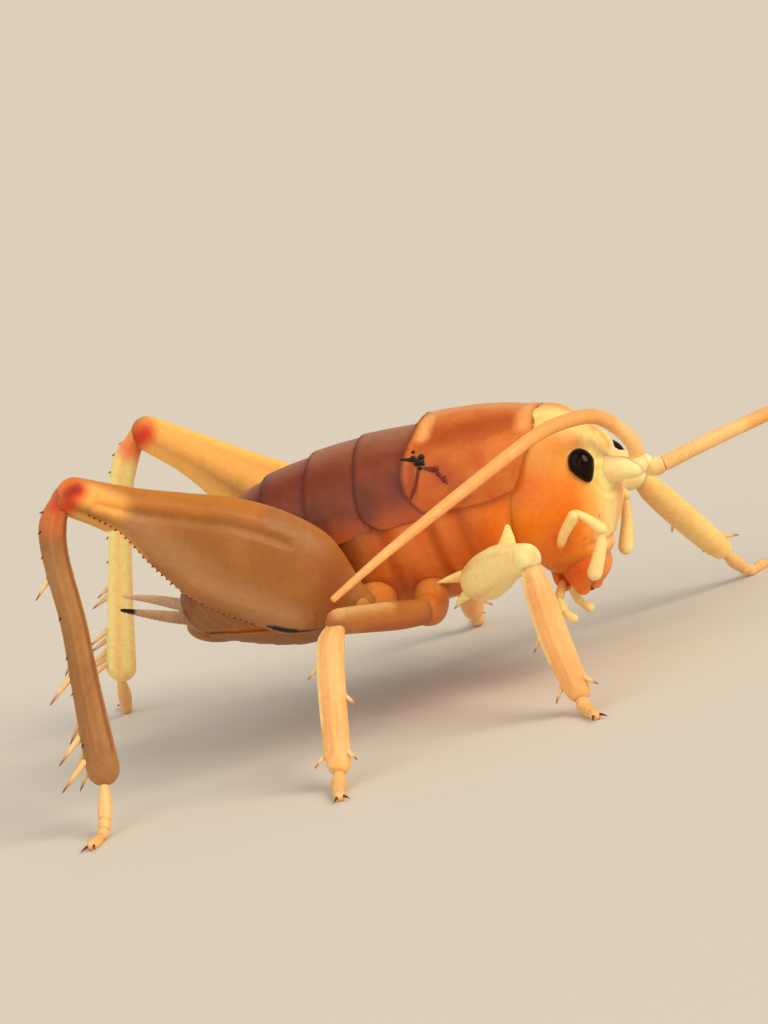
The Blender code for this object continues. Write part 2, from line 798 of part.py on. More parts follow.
# Mouthparts: each level's middle along X and Y, height, half depth and half width, in mm.
LABRUM = ((4.05, 0.0, 5.0, 0.26, 1.15), (3.85, 0.0, 4.5, 0.28, 1.05), (3.45, 0.0, 4.1, 0.26, 0.7))
MANDIBLE = ((2.95, -0.9, 5.0, 0.6, 0.7), (2.9, -0.85, 4.5, 0.55, 0.62), (2.8, -0.6, 4.1, 0.35, 0.4))
LABIUM = ((1.75, 0.0, 5.0, 0.3, 1.0), (1.75, 0.0, 4.6, 0.3, 0.9), (1.85, 0.0, 4.25, 0.26, 0.6))


def stack(name, levels, side):
    rings = []
    for x, y, z, half_depth, half_width in levels:
        ring = []
        for i in range(14):
            turn = 2 * math.pi * i / 14
            along = half_depth * power(math.cos(turn), 0.8)
            across = half_width * power(math.sin(turn), 0.8)
            ring.append(on_head(x + along, (y + across) * side, z))
        rings.append(ring)
    return finish(skin(name, rings), "mouth")


def swollen_levels(levels, grow):
    moved = []
    last = len(levels) - 1
    for i, (x, y, z, half_depth, half_width) in enumerate(levels):
        lift = grow if i == 0 else (-grow if i == last else 0.0)
        moved.append((x, y, z + lift, half_depth + grow, half_width + grow))
    return moved


# Palps and feelers of the right side, and the left feeler, in mm.
PALP_BASE = ((2.8, -1.6, 5.65), (2.5, -2.9, 5.85), (3.2, -3.35, 6.85), (4.2, -3.6, 7.9))
PALP_BASE_SIZES = ((0.3, 0.3), (0.28, 0.28), (0.28, 0.28), (0.27, 0.27))
# The left palp is held closer to the face than the right one. Both are given as right ones.
PALP_ENDS = {
    "right": ((4.55, -3.62, 7.95), (5.0, -3.62, 7.5), (5.4, -3.6, 6.85), (5.05, -3.5, 5.95), (4.5, -3.4, 4.95)),
    "left": ((4.5, -3.5, 8.05), (4.8, -3.45, 7.7), (4.82, -3.3, 6.9), (4.62, -3.15, 6.05), (4.4, -3.0, 5.2)),
}
PALP_END_SIZES = ((0.28, 0.28), (0.3, 0.3), (0.3, 0.3), (0.32, 0.32), (0.36, 0.36))
LIP_PALP = ((1.95, -0.75, 4.5), (1.75, -1.2, 3.8), (1.95, -1.45, 3.2), (2.3, -1.5, 2.8))
LIP_PALP_SIZES = ((0.26, 0.26), (0.26, 0.26))
SCAPE = ((4.9, -0.95, 9.55), (5.8, -1.0, 9.5), (6.5, -1.05, 9.4), (7.0, -1.1, 9.2))
SCAPE_SIZES = ((0.5, 0.5), (0.55, 0.52), (0.52, 0.5), (0.42, 0.42))
FEELERS = {
    "right": (
        ((7.1, -1.15, 9.85), (7.15, -1.25, 10.4), (6.9, -1.6, 11.3), (6.35, -2.3, 12.2), (5.8, -3.2, 12.7)),
        ((5.45, -3.75, 12.85), (4.75, -4.9, 12.95), (3.75, -6.5, 12.85), (2.55, -8.25, 12.45)),
        ((2.15, -8.85, 12.32), (-0.2, -11.7, 11.4), (-2.6, -14.2, 10.4), (-4.8, -16.3, 9.35)),
    ),
    "left": (
        ((7.65, 0.75, 8.8), (9.5, 1.45, 9.2), (11.3, 2.5, 9.45), (13.0, 3.6, 9.65)),
        ((13.55, 3.95, 9.72), (15.8, 5.4, 10.0), (18.1, 6.8, 10.25), (20.2, 8.0, 10.3)),
        ((20.75, 8.3, 10.3), (22.8, 9.4, 10.2), (24.7, 10.3, 9.9), (26.5, 11.0, 9.4)),
    ),
}
FEELER_HALF_SIZES = ((0.42, 0.34), (0.33, 0.29), (0.28, 0.17))
CERCI = {
    "right": ((-16.9, -1.0, 6.8), (-17.9, -2.05, 7.45), (-18.6, -3.1, 8.05), (-19.3, -4.4, 8.75)),
    "left": ((-17.0, 0.7, 6.8), (-18.6, 1.35, 7.35), (-20.1, 2.0, 7.75), (-21.7, 2.7, 8.05)),
}
CERCUS_SIZES = ((0.42, 0.42), (0.36, 0.36), (0.28, 0.28), (0.16, 0.16))
CERCUS_ROOT_GAP = 0.34


def on_side(points, side):
    """Points of the right side, or mirrored for side -1, carried with the head's turn."""
    return [head_turn() @ Vector((x, y * side, z)) for x, y, z in points]


def palps(word, side):
    gap = GAP / MM
    end = on_side(PALP_ENDS[word], side)
    base = limb(f"palp_{word}_base", on_side(PALP_BASE, side), PALP_BASE_SIZES, count=6)
    boolean(base, head_form("clearance", gap), "DIFFERENCE")
    boolean(base, limb("clearance", end, PALP_END_SIZES, grow=gap), "DIFFERENCE")
    finish(base, "leg")
    finish(limb(f"palp_{word}_end", end, PALP_END_SIZES), "leg")

    lip = limb(f"lip_palp_{word}", on_side(LIP_PALP, side), LIP_PALP_SIZES, count=5)
    boolean(lip, stack("clearance", swollen_levels(LABIUM, gap), 1), "DIFFERENCE")
    finish(lip, "leg")


def feeler(word, side):
    """The stout first piece of a feeler, and the three lengths of its lash."""
    gap = GAP / MM
    names = [f"antenna_{word}_scape"]
    paths = [on_side(SCAPE, side)]
    sizes = [SCAPE_SIZES]
    for number, (thick, thin) in enumerate(FEELER_HALF_SIZES):
        names.append(f"antenna_{word}_{number + 1}")
        paths.append(FEELERS[word][number])
        sizes.append(((thick, thick), (thin, thin)))
    for i, name in enumerate(names):
        node = limb(name, paths[i], sizes[i])
        if i == 0:
            boolean(node, head_form("clearance", gap), "DIFFERENCE")
        if i + 1 < len(names):
            after = limb("clearance", paths[i + 1], sizes[i + 1], grow=gap)
            boolean(node, after, "DIFFERENCE")
        finish(node, "feeler")


def cerci():
    gap = GAP / MM
    places = steps(TAIL_END - CERCUS_ROOT_GAP, -15.0, 7)
    for word, points in CERCI.items():
        node = limb(f"cercus_{word}", points, CERCUS_SIZES)
        clearance = trunk("clearance", TRUNK_STATIONS, places, gap + RING_FLARE, ABDOMEN_LEAN)
        boolean(node, clearance, "DIFFERENCE")
        finish(node, "leg")


for old in list(bpy.data.objects):
    bpy.data.objects.remove(old)

body_plates()
abdomen()
head()
stack("labrum", LABRUM, 1)
stack("labium", LABIUM, 1)
for side_word, side_sign in (("right", 1), ("left", -1)):
    stack(f"mandible_{side_word}", MANDIBLE, side_sign)
    palps(side_word, side_sign)
    feeler(side_word, side_sign)
cerci()
for leg_name, leg_joints in LEGS.items():
    leg(leg_name, leg_joints)
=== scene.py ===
"""The looks of a sand-treader camel cricket at life size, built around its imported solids.

The animal faces +X, its left side is +Y, and it stands on Z = 0. Its own places are in mm.
"""

import math
from functools import partial

import bpy
import numpy as np
from mathutils import Matrix, Vector


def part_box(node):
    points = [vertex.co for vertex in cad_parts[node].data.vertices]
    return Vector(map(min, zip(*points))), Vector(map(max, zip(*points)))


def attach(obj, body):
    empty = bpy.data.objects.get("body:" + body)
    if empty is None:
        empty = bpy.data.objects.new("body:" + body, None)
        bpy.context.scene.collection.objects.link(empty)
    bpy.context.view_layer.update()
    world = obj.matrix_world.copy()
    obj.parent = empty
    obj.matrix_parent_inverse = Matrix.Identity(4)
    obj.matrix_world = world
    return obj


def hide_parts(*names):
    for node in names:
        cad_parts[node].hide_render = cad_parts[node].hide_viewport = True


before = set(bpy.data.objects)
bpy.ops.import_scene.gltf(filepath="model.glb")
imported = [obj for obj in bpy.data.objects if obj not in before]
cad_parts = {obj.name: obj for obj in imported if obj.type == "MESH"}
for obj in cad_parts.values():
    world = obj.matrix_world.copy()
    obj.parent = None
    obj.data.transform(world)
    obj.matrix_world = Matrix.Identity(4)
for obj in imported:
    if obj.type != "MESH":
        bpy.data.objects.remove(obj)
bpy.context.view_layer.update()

# Soft skin of the body. In life it is thin, see-through cuticle over the muscles, which shows
# bare on the flanks and the belly and between the plates of the back. It is one closed skin
# from the neck to the tail, grown ring by ring, with the folds between its three leg-bearing
# parts pressed in afterwards.
MM = 0.001
PRONOTUM_REAR = -3.95

# Trunk: distance forward, height of the back, height of the belly and half width.
TRUNK = (
    (-17.7, 7.4, 5.75, 1.0),
    (-17.1, 8.05, 5.45, 1.6),
    (-16.1, 9.2, 5.1, 2.35),
    (-14.8, 10.6, 4.65, 3.1),
    (-13.1, 11.9, 4.25, 3.7),
    (-11.2, 12.85, 4.15, 4.1),
    (-9.0, 13.42, 4.3, 4.25),
    (-6.3, 13.7, 4.6, 4.15),
    (-3.6, 13.7, 4.85, 3.95),
    (-1.0, 13.65, 5.0, 3.75),
    (1.2, 13.42, 5.3, 3.45),
    (3.4, 12.9, 5.8, 3.0),
)
ABDOMEN_FRONT = -9.0
TAIL_END = -17.6
TAIL_LEAN = 24.0
SKIN_REAR = -17.4
NECK_REAR = -0.2
NECK_FRONT = 1.9
NECK_RISE = 1.15
NECK_TUCK = 0.34

# The animal's own axes start under the middle of its pronotum, which the frame places.
pronotum_low, pronotum_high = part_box("pronotum")
AXES = Vector((pronotum_low.x - PRONOTUM_REAR * MM, (pronotum_low.y + pronotum_high.y) / 2, 0.0))


def spot(x, y, z):
    return AXES + Vector((x, y, z)) * MM


def read(rows, x):
    """The row of values at x, on a smooth curve through the rows."""
    last = len(rows) - 2
    index = 0
    while index < last and x > rows[index + 1][0]:
        index += 1
    before = rows[max(index - 1, 0)]
    left = rows[index]
    right = rows[index + 1]
    after = rows[min(index + 2, last + 1)]
    span = right[0] - left[0]
    u = min(max((x - left[0]) / span, 0.0), 1.0)
    values = []
    for column in range(1, len(left)):
        rise_left = (right[column] - before[column]) / (right[0] - before[0]) * span
        rise_right = (after[column] - left[column]) / (after[0] - left[0]) * span
        value = (2 * u**3 - 3 * u**2 + 1) * left[column]
        value += (u**3 - 2 * u**2 + u) * rise_left
        value += (3 * u**2 - 2 * u**3) * right[column]
        value += (u**3 - u**2) * rise_right
        values.append(value)
    return values


def steps(first, last, count):
    return [first + (last - first) * i / (count - 1) for i in range(count)]


def lean_at(x):
    """How far the rings of the abdomen lean back at x, in degrees."""
    share = (ABDOMEN_FRONT - x) / (ABDOMEN_FRONT - TAIL_END)
    return TAIL_LEAN * min(max(share, 0.0), 1.0)


def on_trunk(x, turn, lift=0.0):
    """A point on the trunk at x, turned from the back (0) to the belly (pi), in mm."""
    top, bottom, half_width = read(TRUNK, x)
    half_height = (top - bottom) / 2 + lift
    rise = half_height * math.cos(turn)
    back = rise * math.tan(math.radians(lean_at(x)))
    return Vector((x - back, (half_width + lift) * math.sin(turn), (top + bottom) / 2 + rise))


def flank(x, z, side):
    """A point on the trunk's side at x and height z, in mm. The right side is -1."""
    top, bottom, half_width = read(TRUNK, x)
    rise = (z - (top + bottom) / 2) / ((top - bottom) / 2)
    return Vector((x, side * half_width * math.sqrt(max(1 - rise**2, 0.0)), z))


def refine(piece, levels):
    """Rounds the piece off by subdivision, and shades it smooth."""
    bpy.context.view_layer.objects.active = piece
    if levels:
        rounder = piece.modifiers.new("round", "SUBSURF")
        rounder.levels = levels
        rounder.render_levels = levels
        bpy.ops.object.modifier_apply(modifier=rounder.name)
    bpy.ops.object.shade_smooth()


def loft(name, rings, sides=24, levels=1):
    """A closed skin: a circle is added at each ring's place, then all are bridged and capped.

    A ring is its middle and the two half sizes across it as vectors, in metres.
    """
    bpy.ops.object.select_all(action="DESELECT")
    bpy.ops.mesh.primitive_circle_add(vertices=3)
    piece = bpy.context.object
    piece.name = name
    piece.data.name = name
    bpy.ops.object.mode_set(mode="EDIT")
    bpy.ops.mesh.delete(type="VERT")
    for middle, deep, wide in rings:
        rows = (deep.normalized(), wide.normalized(), deep.cross(wide).normalized())
        facing = Matrix(rows).transposed()
        bpy.ops.mesh.primitive_circle_add(
            vertices=sides, radius=deep.length, location=middle, rotation=facing.to_euler()
        )
        bpy.ops.transform.resize(
            value=(1.0, wide.length / deep.length, 1.0),
            orient_type="GLOBAL",
            orient_matrix=facing,
            orient_matrix_type="GLOBAL",
            center_override=middle,
        )
    bpy.ops.mesh.select_all(action="SELECT")
    bpy.ops.mesh.bridge_edge_loops()
    bpy.ops.mesh.select_all(action="SELECT")
    bpy.ops.mesh.fill_holes(sides=0)
    bpy.ops.mesh.normals_make_consistent(inside=False)
    bpy.ops.object.mode_set(mode="OBJECT")
    piece.location = (0.0, 0.0, 0.0)
    refine(piece, levels)
    return piece


def points_of(piece):
    """The piece's points on the animal's own axes, in mm."""
    flat = np.empty(len(piece.data.vertices) * 3)
    piece.data.vertices.foreach_get("co", flat)
    return (flat.reshape(-1, 3) - np.array(AXES)) / MM


def place_points(piece, points):
    piece.data.vertices.foreach_set("co", (points * MM + np.array(AXES)).ravel())
    piece.data.update()


def nearness(points, path, width):
    """For each point 1 on the path, falling smoothly to 0 at width from it, all in mm."""
    path = np.array([tuple(place) for place in path])
    if len(path) == 1:
        path = np.vstack((path, path + 0.0001))
    distance = np.full(len(points), np.inf)
    for start, end in zip(path, path[1:]):
        along = end - start
        if not along.any():
            continue
        share = np.clip((points - start) @ along / (along @ along), 0.0, 1.0)
        nearest = start + share[:, None] * along
        distance = np.minimum(distance, np.linalg.norm(points - nearest, axis=1))
    share = np.clip(1.0 - distance / width, 0.0, 1.0)
    return share * share * (3.0 - 2.0 * share)


def press(piece, path, width, depth):
    """Presses a fold or dent along the path into the piece, or raises a ridge if depth < 0."""
    points = points_of(piece)
    normals = np.empty(len(points) * 3)
    piece.data.vertices.foreach_get("normal", normals)
    share = nearness(points, path, width)[:, None]
    place_points(piece, points - normals.reshape(-1, 3) * share * depth)


def mark(piece, name, path, width, strength=1.0):
    """Writes how near each point is to the path into the piece's attribute of this name."""
    layer = piece.data.attributes.get(name)
    if layer is None:
        layer = piece.data.attributes.new(name, "FLOAT", "POINT")
    values = np.empty(len(piece.data.vertices))
    layer.data.foreach_get("value", values)
    values = np.maximum(values, nearness(points_of(piece), path, width) * strength)
    layer.data.foreach_set("value", np.minimum(values, 1.0))


def linear(code):
    """A colour given as an sRGB hex value, in linear light for the shader."""
    channels = [int(code[i : i + 2], 16) / 255 for i in (1, 3, 5)]
    return [c / 12.92 if c <= 0.04045 else ((c + 0.055) / 1.055) ** 2.4 for c in channels] + [1.0]


def add(tree, kind, links=(), **settings):
    """Adds a node, gives it its settings, and links other nodes' outputs to its inputs."""
    made = tree.nodes.new(kind)
    for key, value in settings.items():
        if key.startswith("in_"):
            socket = key[3:]
            socket = int(socket) if socket.isdigit() else socket.replace("_", " ")
            made.inputs[socket].default_value = value
        else:
            setattr(made, key, value)
    for socket, source in links:
        tree.links.new(source, made.inputs[socket])
    return made


def cuticle(name, base, cloud, marks=(), rough=0.4, glow=1.0, reach=0.9, grain=0.16, relief=0.35, shine=0.3):
    """Insect cuticle: chitin, soft and see-through where thin, with a satin waxy gloss.

    cloud is the tone that drifts through base where fat or muscle shows from inside. marks
    are pairs of an attribute and the colour that it lays on. reach is how far light spreads
    under the surface and grain the size of the fine pores and wrinkles, in mm. shine is the
    strength of the gloss.
    """
    material = bpy.data.materials.new(name)
    material.use_nodes = True
    tree = material.node_tree
    shader = tree.nodes["Principled BSDF"]
    shader.inputs["Metallic"].default_value = 0.0
    shader.inputs["IOR"].default_value = 1.5
    shader.inputs["Specular IOR Level"].default_value = shine
    shader.inputs["Subsurface Weight"].default_value = glow
    shader.inputs["Subsurface Radius"].default_value = (1.0, 0.78, 0.56)
    shader.inputs["Subsurface Scale"].default_value = reach * MM
    place = add(tree, "ShaderNodeTexCoord")
    drift = add(
        tree, "ShaderNodeTexNoise", [("Vector", place.outputs["Object"])],
        in_Scale=1.0 / (2.2 * MM), in_Detail=3.0, in_Roughness=0.55,
    )
    clouds = add(
        tree, "ShaderNodeMapRange", [("Value", drift.outputs["Fac"])],
        in_1=0.38, in_2=0.68, interpolation_type="SMOOTHSTEP",
    )
    tone = add(
        tree, "ShaderNodeMix", [("Factor", clouds.outputs["Result"])],
        data_type="RGBA", in_6=linear(base), in_7=linear(cloud),
    )
    colour = tone.outputs[2]
    for layer, code in marks:
        share = add(tree, "ShaderNodeAttribute", attribute_name=layer)
        colour = add(
            tree, "ShaderNodeMix", [("Factor", share.outputs["Fac"]), (6, colour)],
            data_type="RGBA", in_7=linear(code),
        ).outputs[2]
    speckle = add(
        tree, "ShaderNodeTexNoise", [("Vector", place.outputs["Object"])],
        in_Scale=1.0 / (0.26 * MM), in_Detail=4.0, in_Roughness=0.65,
    )
    freckle = add(
        tree, "ShaderNodeMapRange", [("Value", speckle.outputs["Fac"])],
        in_1=0.3, in_2=0.72, in_3=0.9, in_4=1.06,
    )
    colour = add(
        tree, "ShaderNodeVectorMath", [(0, colour), ("Scale", freckle.outputs["Result"])],
        operation="SCALE",
    ).outputs["Vector"]
    tree.links.new(colour, shader.inputs["Base Color"])
    pores = add(
        tree, "ShaderNodeTexVoronoi", [("Vector", place.outputs["Object"])],
        in_Scale=1.0 / (grain * MM), feature="SMOOTH_F1",
    )
    wrinkles = add(
        tree, "ShaderNodeTexNoise", [("Vector", place.outputs["Object"])],
        in_Scale=1.0 / (3.2 * grain * MM), in_Detail=3.0,
    )
    height = add(
        tree, "ShaderNodeMath", [(0, pores.outputs["Distance"]), (1, wrinkles.outputs["Fac"])],
        operation="ADD",
    )
    bump = add(
        tree, "ShaderNodeBump", [("Height", height.outputs[0])],
        in_Strength=relief, in_Distance=0.02 * MM,
    )
    tree.links.new(bump.outputs["Normal"], shader.inputs["Normal"])
    sheen = add(
        tree, "ShaderNodeMapRange", [("Value", wrinkles.outputs["Fac"])],
        in_1=0.3, in_2=0.7, in_3=rough - 0.07, in_4=rough + 0.08,
    )
    tree.links.new(sheen.outputs["Result"], shader.inputs["Roughness"])
    return material


def dress(piece, material, slot, *nodes):
    """Gives the piece its material, hangs it on the root, and hides the solids it stands for."""
    piece.data.materials.clear()
    piece.data.materials.append(material)
    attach(piece, "root")
    if nodes:
        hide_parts(*nodes)


rings = []
for x in steps(SKIN_REAR, NECK_FRONT, 48):
    top, bottom, half_width = read(TRUNK, x)
    neck = max(x - NECK_REAR, 0.0)
    bottom += neck * NECK_RISE
    tuck = 0.2 if x < ABDOMEN_FRONT else 0.06
    tuck += neck * NECK_TUCK
    lean = math.radians(lean_at(x))
    half_height = (top - bottom) / 2 - tuck
    deep = Vector((-math.sin(lean), 0.0, math.cos(lean))) * (half_height / math.cos(lean))
    wide = Vector((0.0, half_width - tuck, 0.0))
    rings.append((spot(x, 0.0, (top + bottom) / 2), deep * MM, wide * MM))
soft_body = loft("soft_body", rings, sides=48, levels=2)

# The folds run down each flank in front of the middle and hind legs, and lean a little back.
FLANK_FOLDS = ((-1.6, -1.35, 0.13), (-3.2, -2.7, 0.17), (-5.5, -5.3, 0.12), (-7.8, -8.3, 0.1))
FLANK_SWELLS = ((-2.4, -2.2), (-4.3, -4.0), (-6.7, -6.8))
FOLD_TOP = 9.9
FOLD_FOOT = 5.3
for side in (-1, 1):
    for top_x, foot_x, depth in FLANK_FOLDS:
        line = []
        for u in steps(0.0, 1.0, 8):
            height = FOLD_TOP + (FOLD_FOOT - FOLD_TOP) * u
            line.append(flank(top_x + (foot_x - top_x) * u, height, side))
        press(soft_body, line, 0.55, depth)
        mark(soft_body, "fold", line, 0.3, 0.7)
    for top_x, foot_x in FLANK_SWELLS:
        swell = [flank(top_x, 9.2, side), flank(foot_x, 6.2, side)]
        press(soft_body, swell, 1.1, -0.1)
        mark(soft_body, "pale", swell, 0.7, 0.45)
    mark(soft_body, "neck", [flank(1.0, z, side) for z in (7.0, 9.5, 12.0)], 2.3, 1.2)
    rear = [flank(x, z, side) for x, z in ((-7.6, 9.6), (-8.6, 7.5), (-11.0, 6.0))]
    mark(soft_body, "rear", rear, 2.8, 1.0)
mark(soft_body, "pale", ((-7.0, 0.0, 4.7), (0.5, 0.0, 5.2)), 2.0, 0.8)
mark(soft_body, "rear", ((-17.5, 0.0, 5.2), (-10.0, 0.0, 4.1)), 4.4, 0.9)
body_skin = cuticle(
    "thin_soft_cuticle", "#CC6418", "#DC7E30", rough=0.4, reach=0.9,
    marks=(
        ("pale", "#E8924A"), ("rear", "#96501F"), ("neck", "#F08420"), ("fold", "#A03E10"),
        ("tan", "#A06A38"),
    ),
)
dress(soft_body, body_skin, "back_cuticle", "thorax_underside")

# First plate of the back, the saddle-shaped pronotum. It is a curved sheet of harder cuticle,
# free at its dark rear edge, which lies over the plate behind. It is laid over the back as a
# grid, and is thick enough inwards for light to soak into it as into the living animal.
PLATE_DEPTH = 0.9
RIM_WIDTH = 0.26

# Its heights, then its rear, front and lower edges by the share of the way down its side.
SADDLE = (
    (-4.6, 14.08, 5.0, 4.2),
    (-2.8, 14.12, 5.0, 4.15),
    (0.0, 13.9, 5.0, 3.95),
    (1.5, 13.6, 5.2, 3.65),
    (3.4, 13.15, 5.5, 3.25),
)
SADDLE_REAR = ((0.0, -2.8), (0.3, -3.15), (0.55, -3.65), (0.75, -3.92), (0.92, -3.85), (1.0, -3.3))
SADDLE_FRONT = ((0.0, 2.92), (0.3, 2.88), (0.55, 2.78), (0.75, 2.62), (0.9, 2.2), (1.0, 1.45))
SADDLE_MARGIN = (
    (-4.0, 10.9), (-3.6, 10.35), (-2.8, 9.98), (-1.2, 9.82), (0.4, 9.83), (1.4, 10.05), (2.3, 11.1),
)
MARGIN_INSET = 0.2


def plate(name, front, rear, turns, lift, bend=None, across=48, along=14, levels=1, depth=PLATE_DEPTH):
    """A plate from front to rear, between two turns round the trunk.

    front and rear read x by the share of the way from the ridge of the back to the margin,
    lift is how far it stands off the trunk at its front and rear, and bend may move a point.
    """
    bpy.ops.object.select_all(action="DESELECT")
    bpy.ops.mesh.primitive_grid_add(x_subdivisions=along, y_subdivisions=across, size=1.0)
    piece = bpy.context.object
    piece.name = name
    piece.data.name = name
    rim = piece.data.attributes.new("rim", "FLOAT", "POINT")
    low_turn, high_turn = turns
    for vert in piece.data.vertices:
        u = (0.5 - vert.co.x) ** 0.8
        v = vert.co.y + 0.5
        share = abs(v - 0.5) * 2
        start = read(front, share)[0]
        end = read(rear, share)[0]
        x = start + (end - start) * u
        turn = low_turn + (high_turn - low_turn) * v
        stand = lift[0] + (lift[1] - lift[0]) * u
        point = bend(x, share, turn, stand) if bend else on_trunk(x, turn, stand)
        vert.co = spot(*point)
        to_rear = abs(end - start) * (1.0 - u)
        rim.data[vert.index].value = max(0.0, 1.0 - to_rear / RIM_WIDTH)
    middle = piece.data.polygons[len(piece.data.polygons) // 2]
    axis = Vector((middle.center.x, AXES.y, 6.5 * MM))
    if middle.normal.dot(middle.center - axis) < 0:
        piece.data.flip_normals()
    wall = piece.modifiers.new("depth", "SOLIDIFY")
    wall.thickness = depth * MM
    wall.offset = -1.0
    bpy.ops.object.modifier_apply(modifier=wall.name)
    soften = piece.modifiers.new("edge", "BEVEL")
    soften.width = 0.035 * MM
    soften.segments = 2
    soften.limit_method = "ANGLE"
    soften.angle_limit = math.radians(50)
    bpy.ops.object.modifier_apply(modifier=soften.name)
    refine(piece, levels)
    return piece


def on_saddle(x, share, turn, lift=0.0):
    """A point of the pronotum, whose side lobes hang to a curved lower edge."""
    top, bottom, half_width = read(SADDLE, x)
    middle = (top + bottom) / 2
    half_height = (top - bottom) / 2
    edge = math.acos((read(SADDLE_MARGIN, x)[0] - middle) / half_height)
    round_back = math.copysign(share * edge, turn)
    inset = MARGIN_INSET * max(share - 0.7, 0.0) / 0.3
    height = middle + (half_height + lift) * math.cos(round_back)
    return Vector((x, (half_width + lift - inset) * math.sin(round_back), height))


def saddle_line(side, *pairs):
    return [on_saddle(x, share, side) for x, share in pairs]


def add_forms(piece, line, forms):
    """Gives the piece its forms in their order, along places that line turns to points.

    A form is relief or a tint's name, its places, its width and its depth or strength.
    """
    for what, places, width, amount in forms:
        if what == "relief":
            press(piece, line(*places), width, amount)
        else:
            mark(piece, what, line(*places), width, amount)


# Each half has a groove near either edge and a dent in its side. Its places are distances
# forward and shares of the way down the side.
SADDLE_FORMS = (
    ("relief", ((1.95, 0.05), (1.8, 0.4), (1.2, 0.8)), 0.4, 0.04),
    ("relief", ((-2.5, 0.1), (-3.0, 0.5), (-3.3, 0.85)), 0.35, 0.045),
    ("relief", ((-2.95, 0.2), (-3.45, 0.55), (-3.65, 0.8)), 0.3, -0.035),
    ("relief", ((-1.3, 0.5), (0.6, 0.62)), 0.9, 0.06),
    ("pale", ((-2.45, 0.12), (-2.65, 0.38)), 0.62, 0.95),
    # The pale along the ridge is partly the plate's lighter top and partly a painted highlight.
    ("pale", tuple((x, 0.03) for x in steps(-2.6, 2.6, 6)), 1.0, 0.5),
    ("pale", ((2.4, 0.1), (2.3, 0.5)), 0.75, 0.75),
    ("dusk", ((-2.0, 0.42), (0.0, 0.36), (1.5, 0.34)), 1.3, 0.9),
    ("dusk", ((-1.8, 0.65), (-1.2, 0.9)), 1.1, 0.6),
    ("red", ((-3.35, 0.66), (-3.55, 0.9)), 0.55, 0.6),
    ("notch", ((2.86, 0.05), (2.82, 0.3), (2.74, 0.48)), 0.16, 0.9),
    (
        "rim",
        ((-3.0, 1.0), (-1.2, 1.0), (0.2, 1.0), (1.4, 1.0), (2.17, 0.9), (2.6, 0.75), (2.76, 0.55)),
        0.11, 0.55,
    ),
)
back_plate = cuticle(
    "amber_back_cuticle", "#C4621F", "#D67C30", rough=0.38, reach=0.8,
    marks=(
        ("dusk", "#AC4A10"), ("pale", "#F4B068"), ("red", "#963010"), ("notch", "#B8560A"),
        ("rim", "#5E1408"),
    ),
)
pronotum = plate(
    "pronotum_plate", SADDLE_FRONT, SADDLE_REAR, (-1.0, 1.0), (0.0, 0.0),
    bend=on_saddle, across=64, along=40, levels=2,
)
for side in (-1, 1):
    add_forms(pronotum, partial(saddle_line, side), SADDLE_FORMS)
dress(pronotum, back_plate, "back_cuticle", "pronotum")

# Second and third plates of the back. Both lie behind the first like roof tiles, with a
# rounded lower corner at the rear, and have a paler greyish top over red-brown cuticle,
# partly their own tone and partly a painted sheen.
NOTUM_TURN = 1.47
NOTUM_FRONTS = {"mesonotum": -2.2, "metanotum": -5.9}
NOTUM_REARS = {"mesonotum": -6.35, "metanotum": -9.0}
mauve_plate = cuticle(
    "mauve_back_cuticle", "#7C341B", "#8C4426", rough=0.38, reach=0.7,
    marks=(
        ("pale_top_and_painted_sheen", "#A8704E"), ("warm", "#B25420"), ("dusk", "#642A18"), ("tan", "#A06A38"),
        ("rim", "#5A0E04"),
    ),
)
for name, rear_x in NOTUM_REARS.items():
    front_x = NOTUM_FRONTS[name]
    rear = ((0.0, rear_x), (0.5, rear_x - 0.05), (0.8, rear_x), (0.93, rear_x + 0.3), (1.0, rear_x + 0.95))
    front = ((0.0, front_x), (1.0, front_x))
    piece = plate(f"{name}_plate", front, rear, (-NOTUM_TURN, NOTUM_TURN), (-0.06, 0.08), along=18)
    mark(piece, "pale_top_and_painted_sheen", [on_trunk(x, 0.0) for x in (rear_x + 0.7, front_x)], 2.9, 0.85)
    for turn in (-1.0, 1.0):
        mark(piece, "dusk", [on_trunk(rear_x + 0.5, turn * share) for share in (1.0, 1.3)], 0.9, 0.6)
        mark(piece, "warm", [on_trunk(x, turn * 1.45) for x in (rear_x + 0.6, front_x)], 1.5, 1.0)
    dress(piece, mauve_plate, "back_cuticle", name)

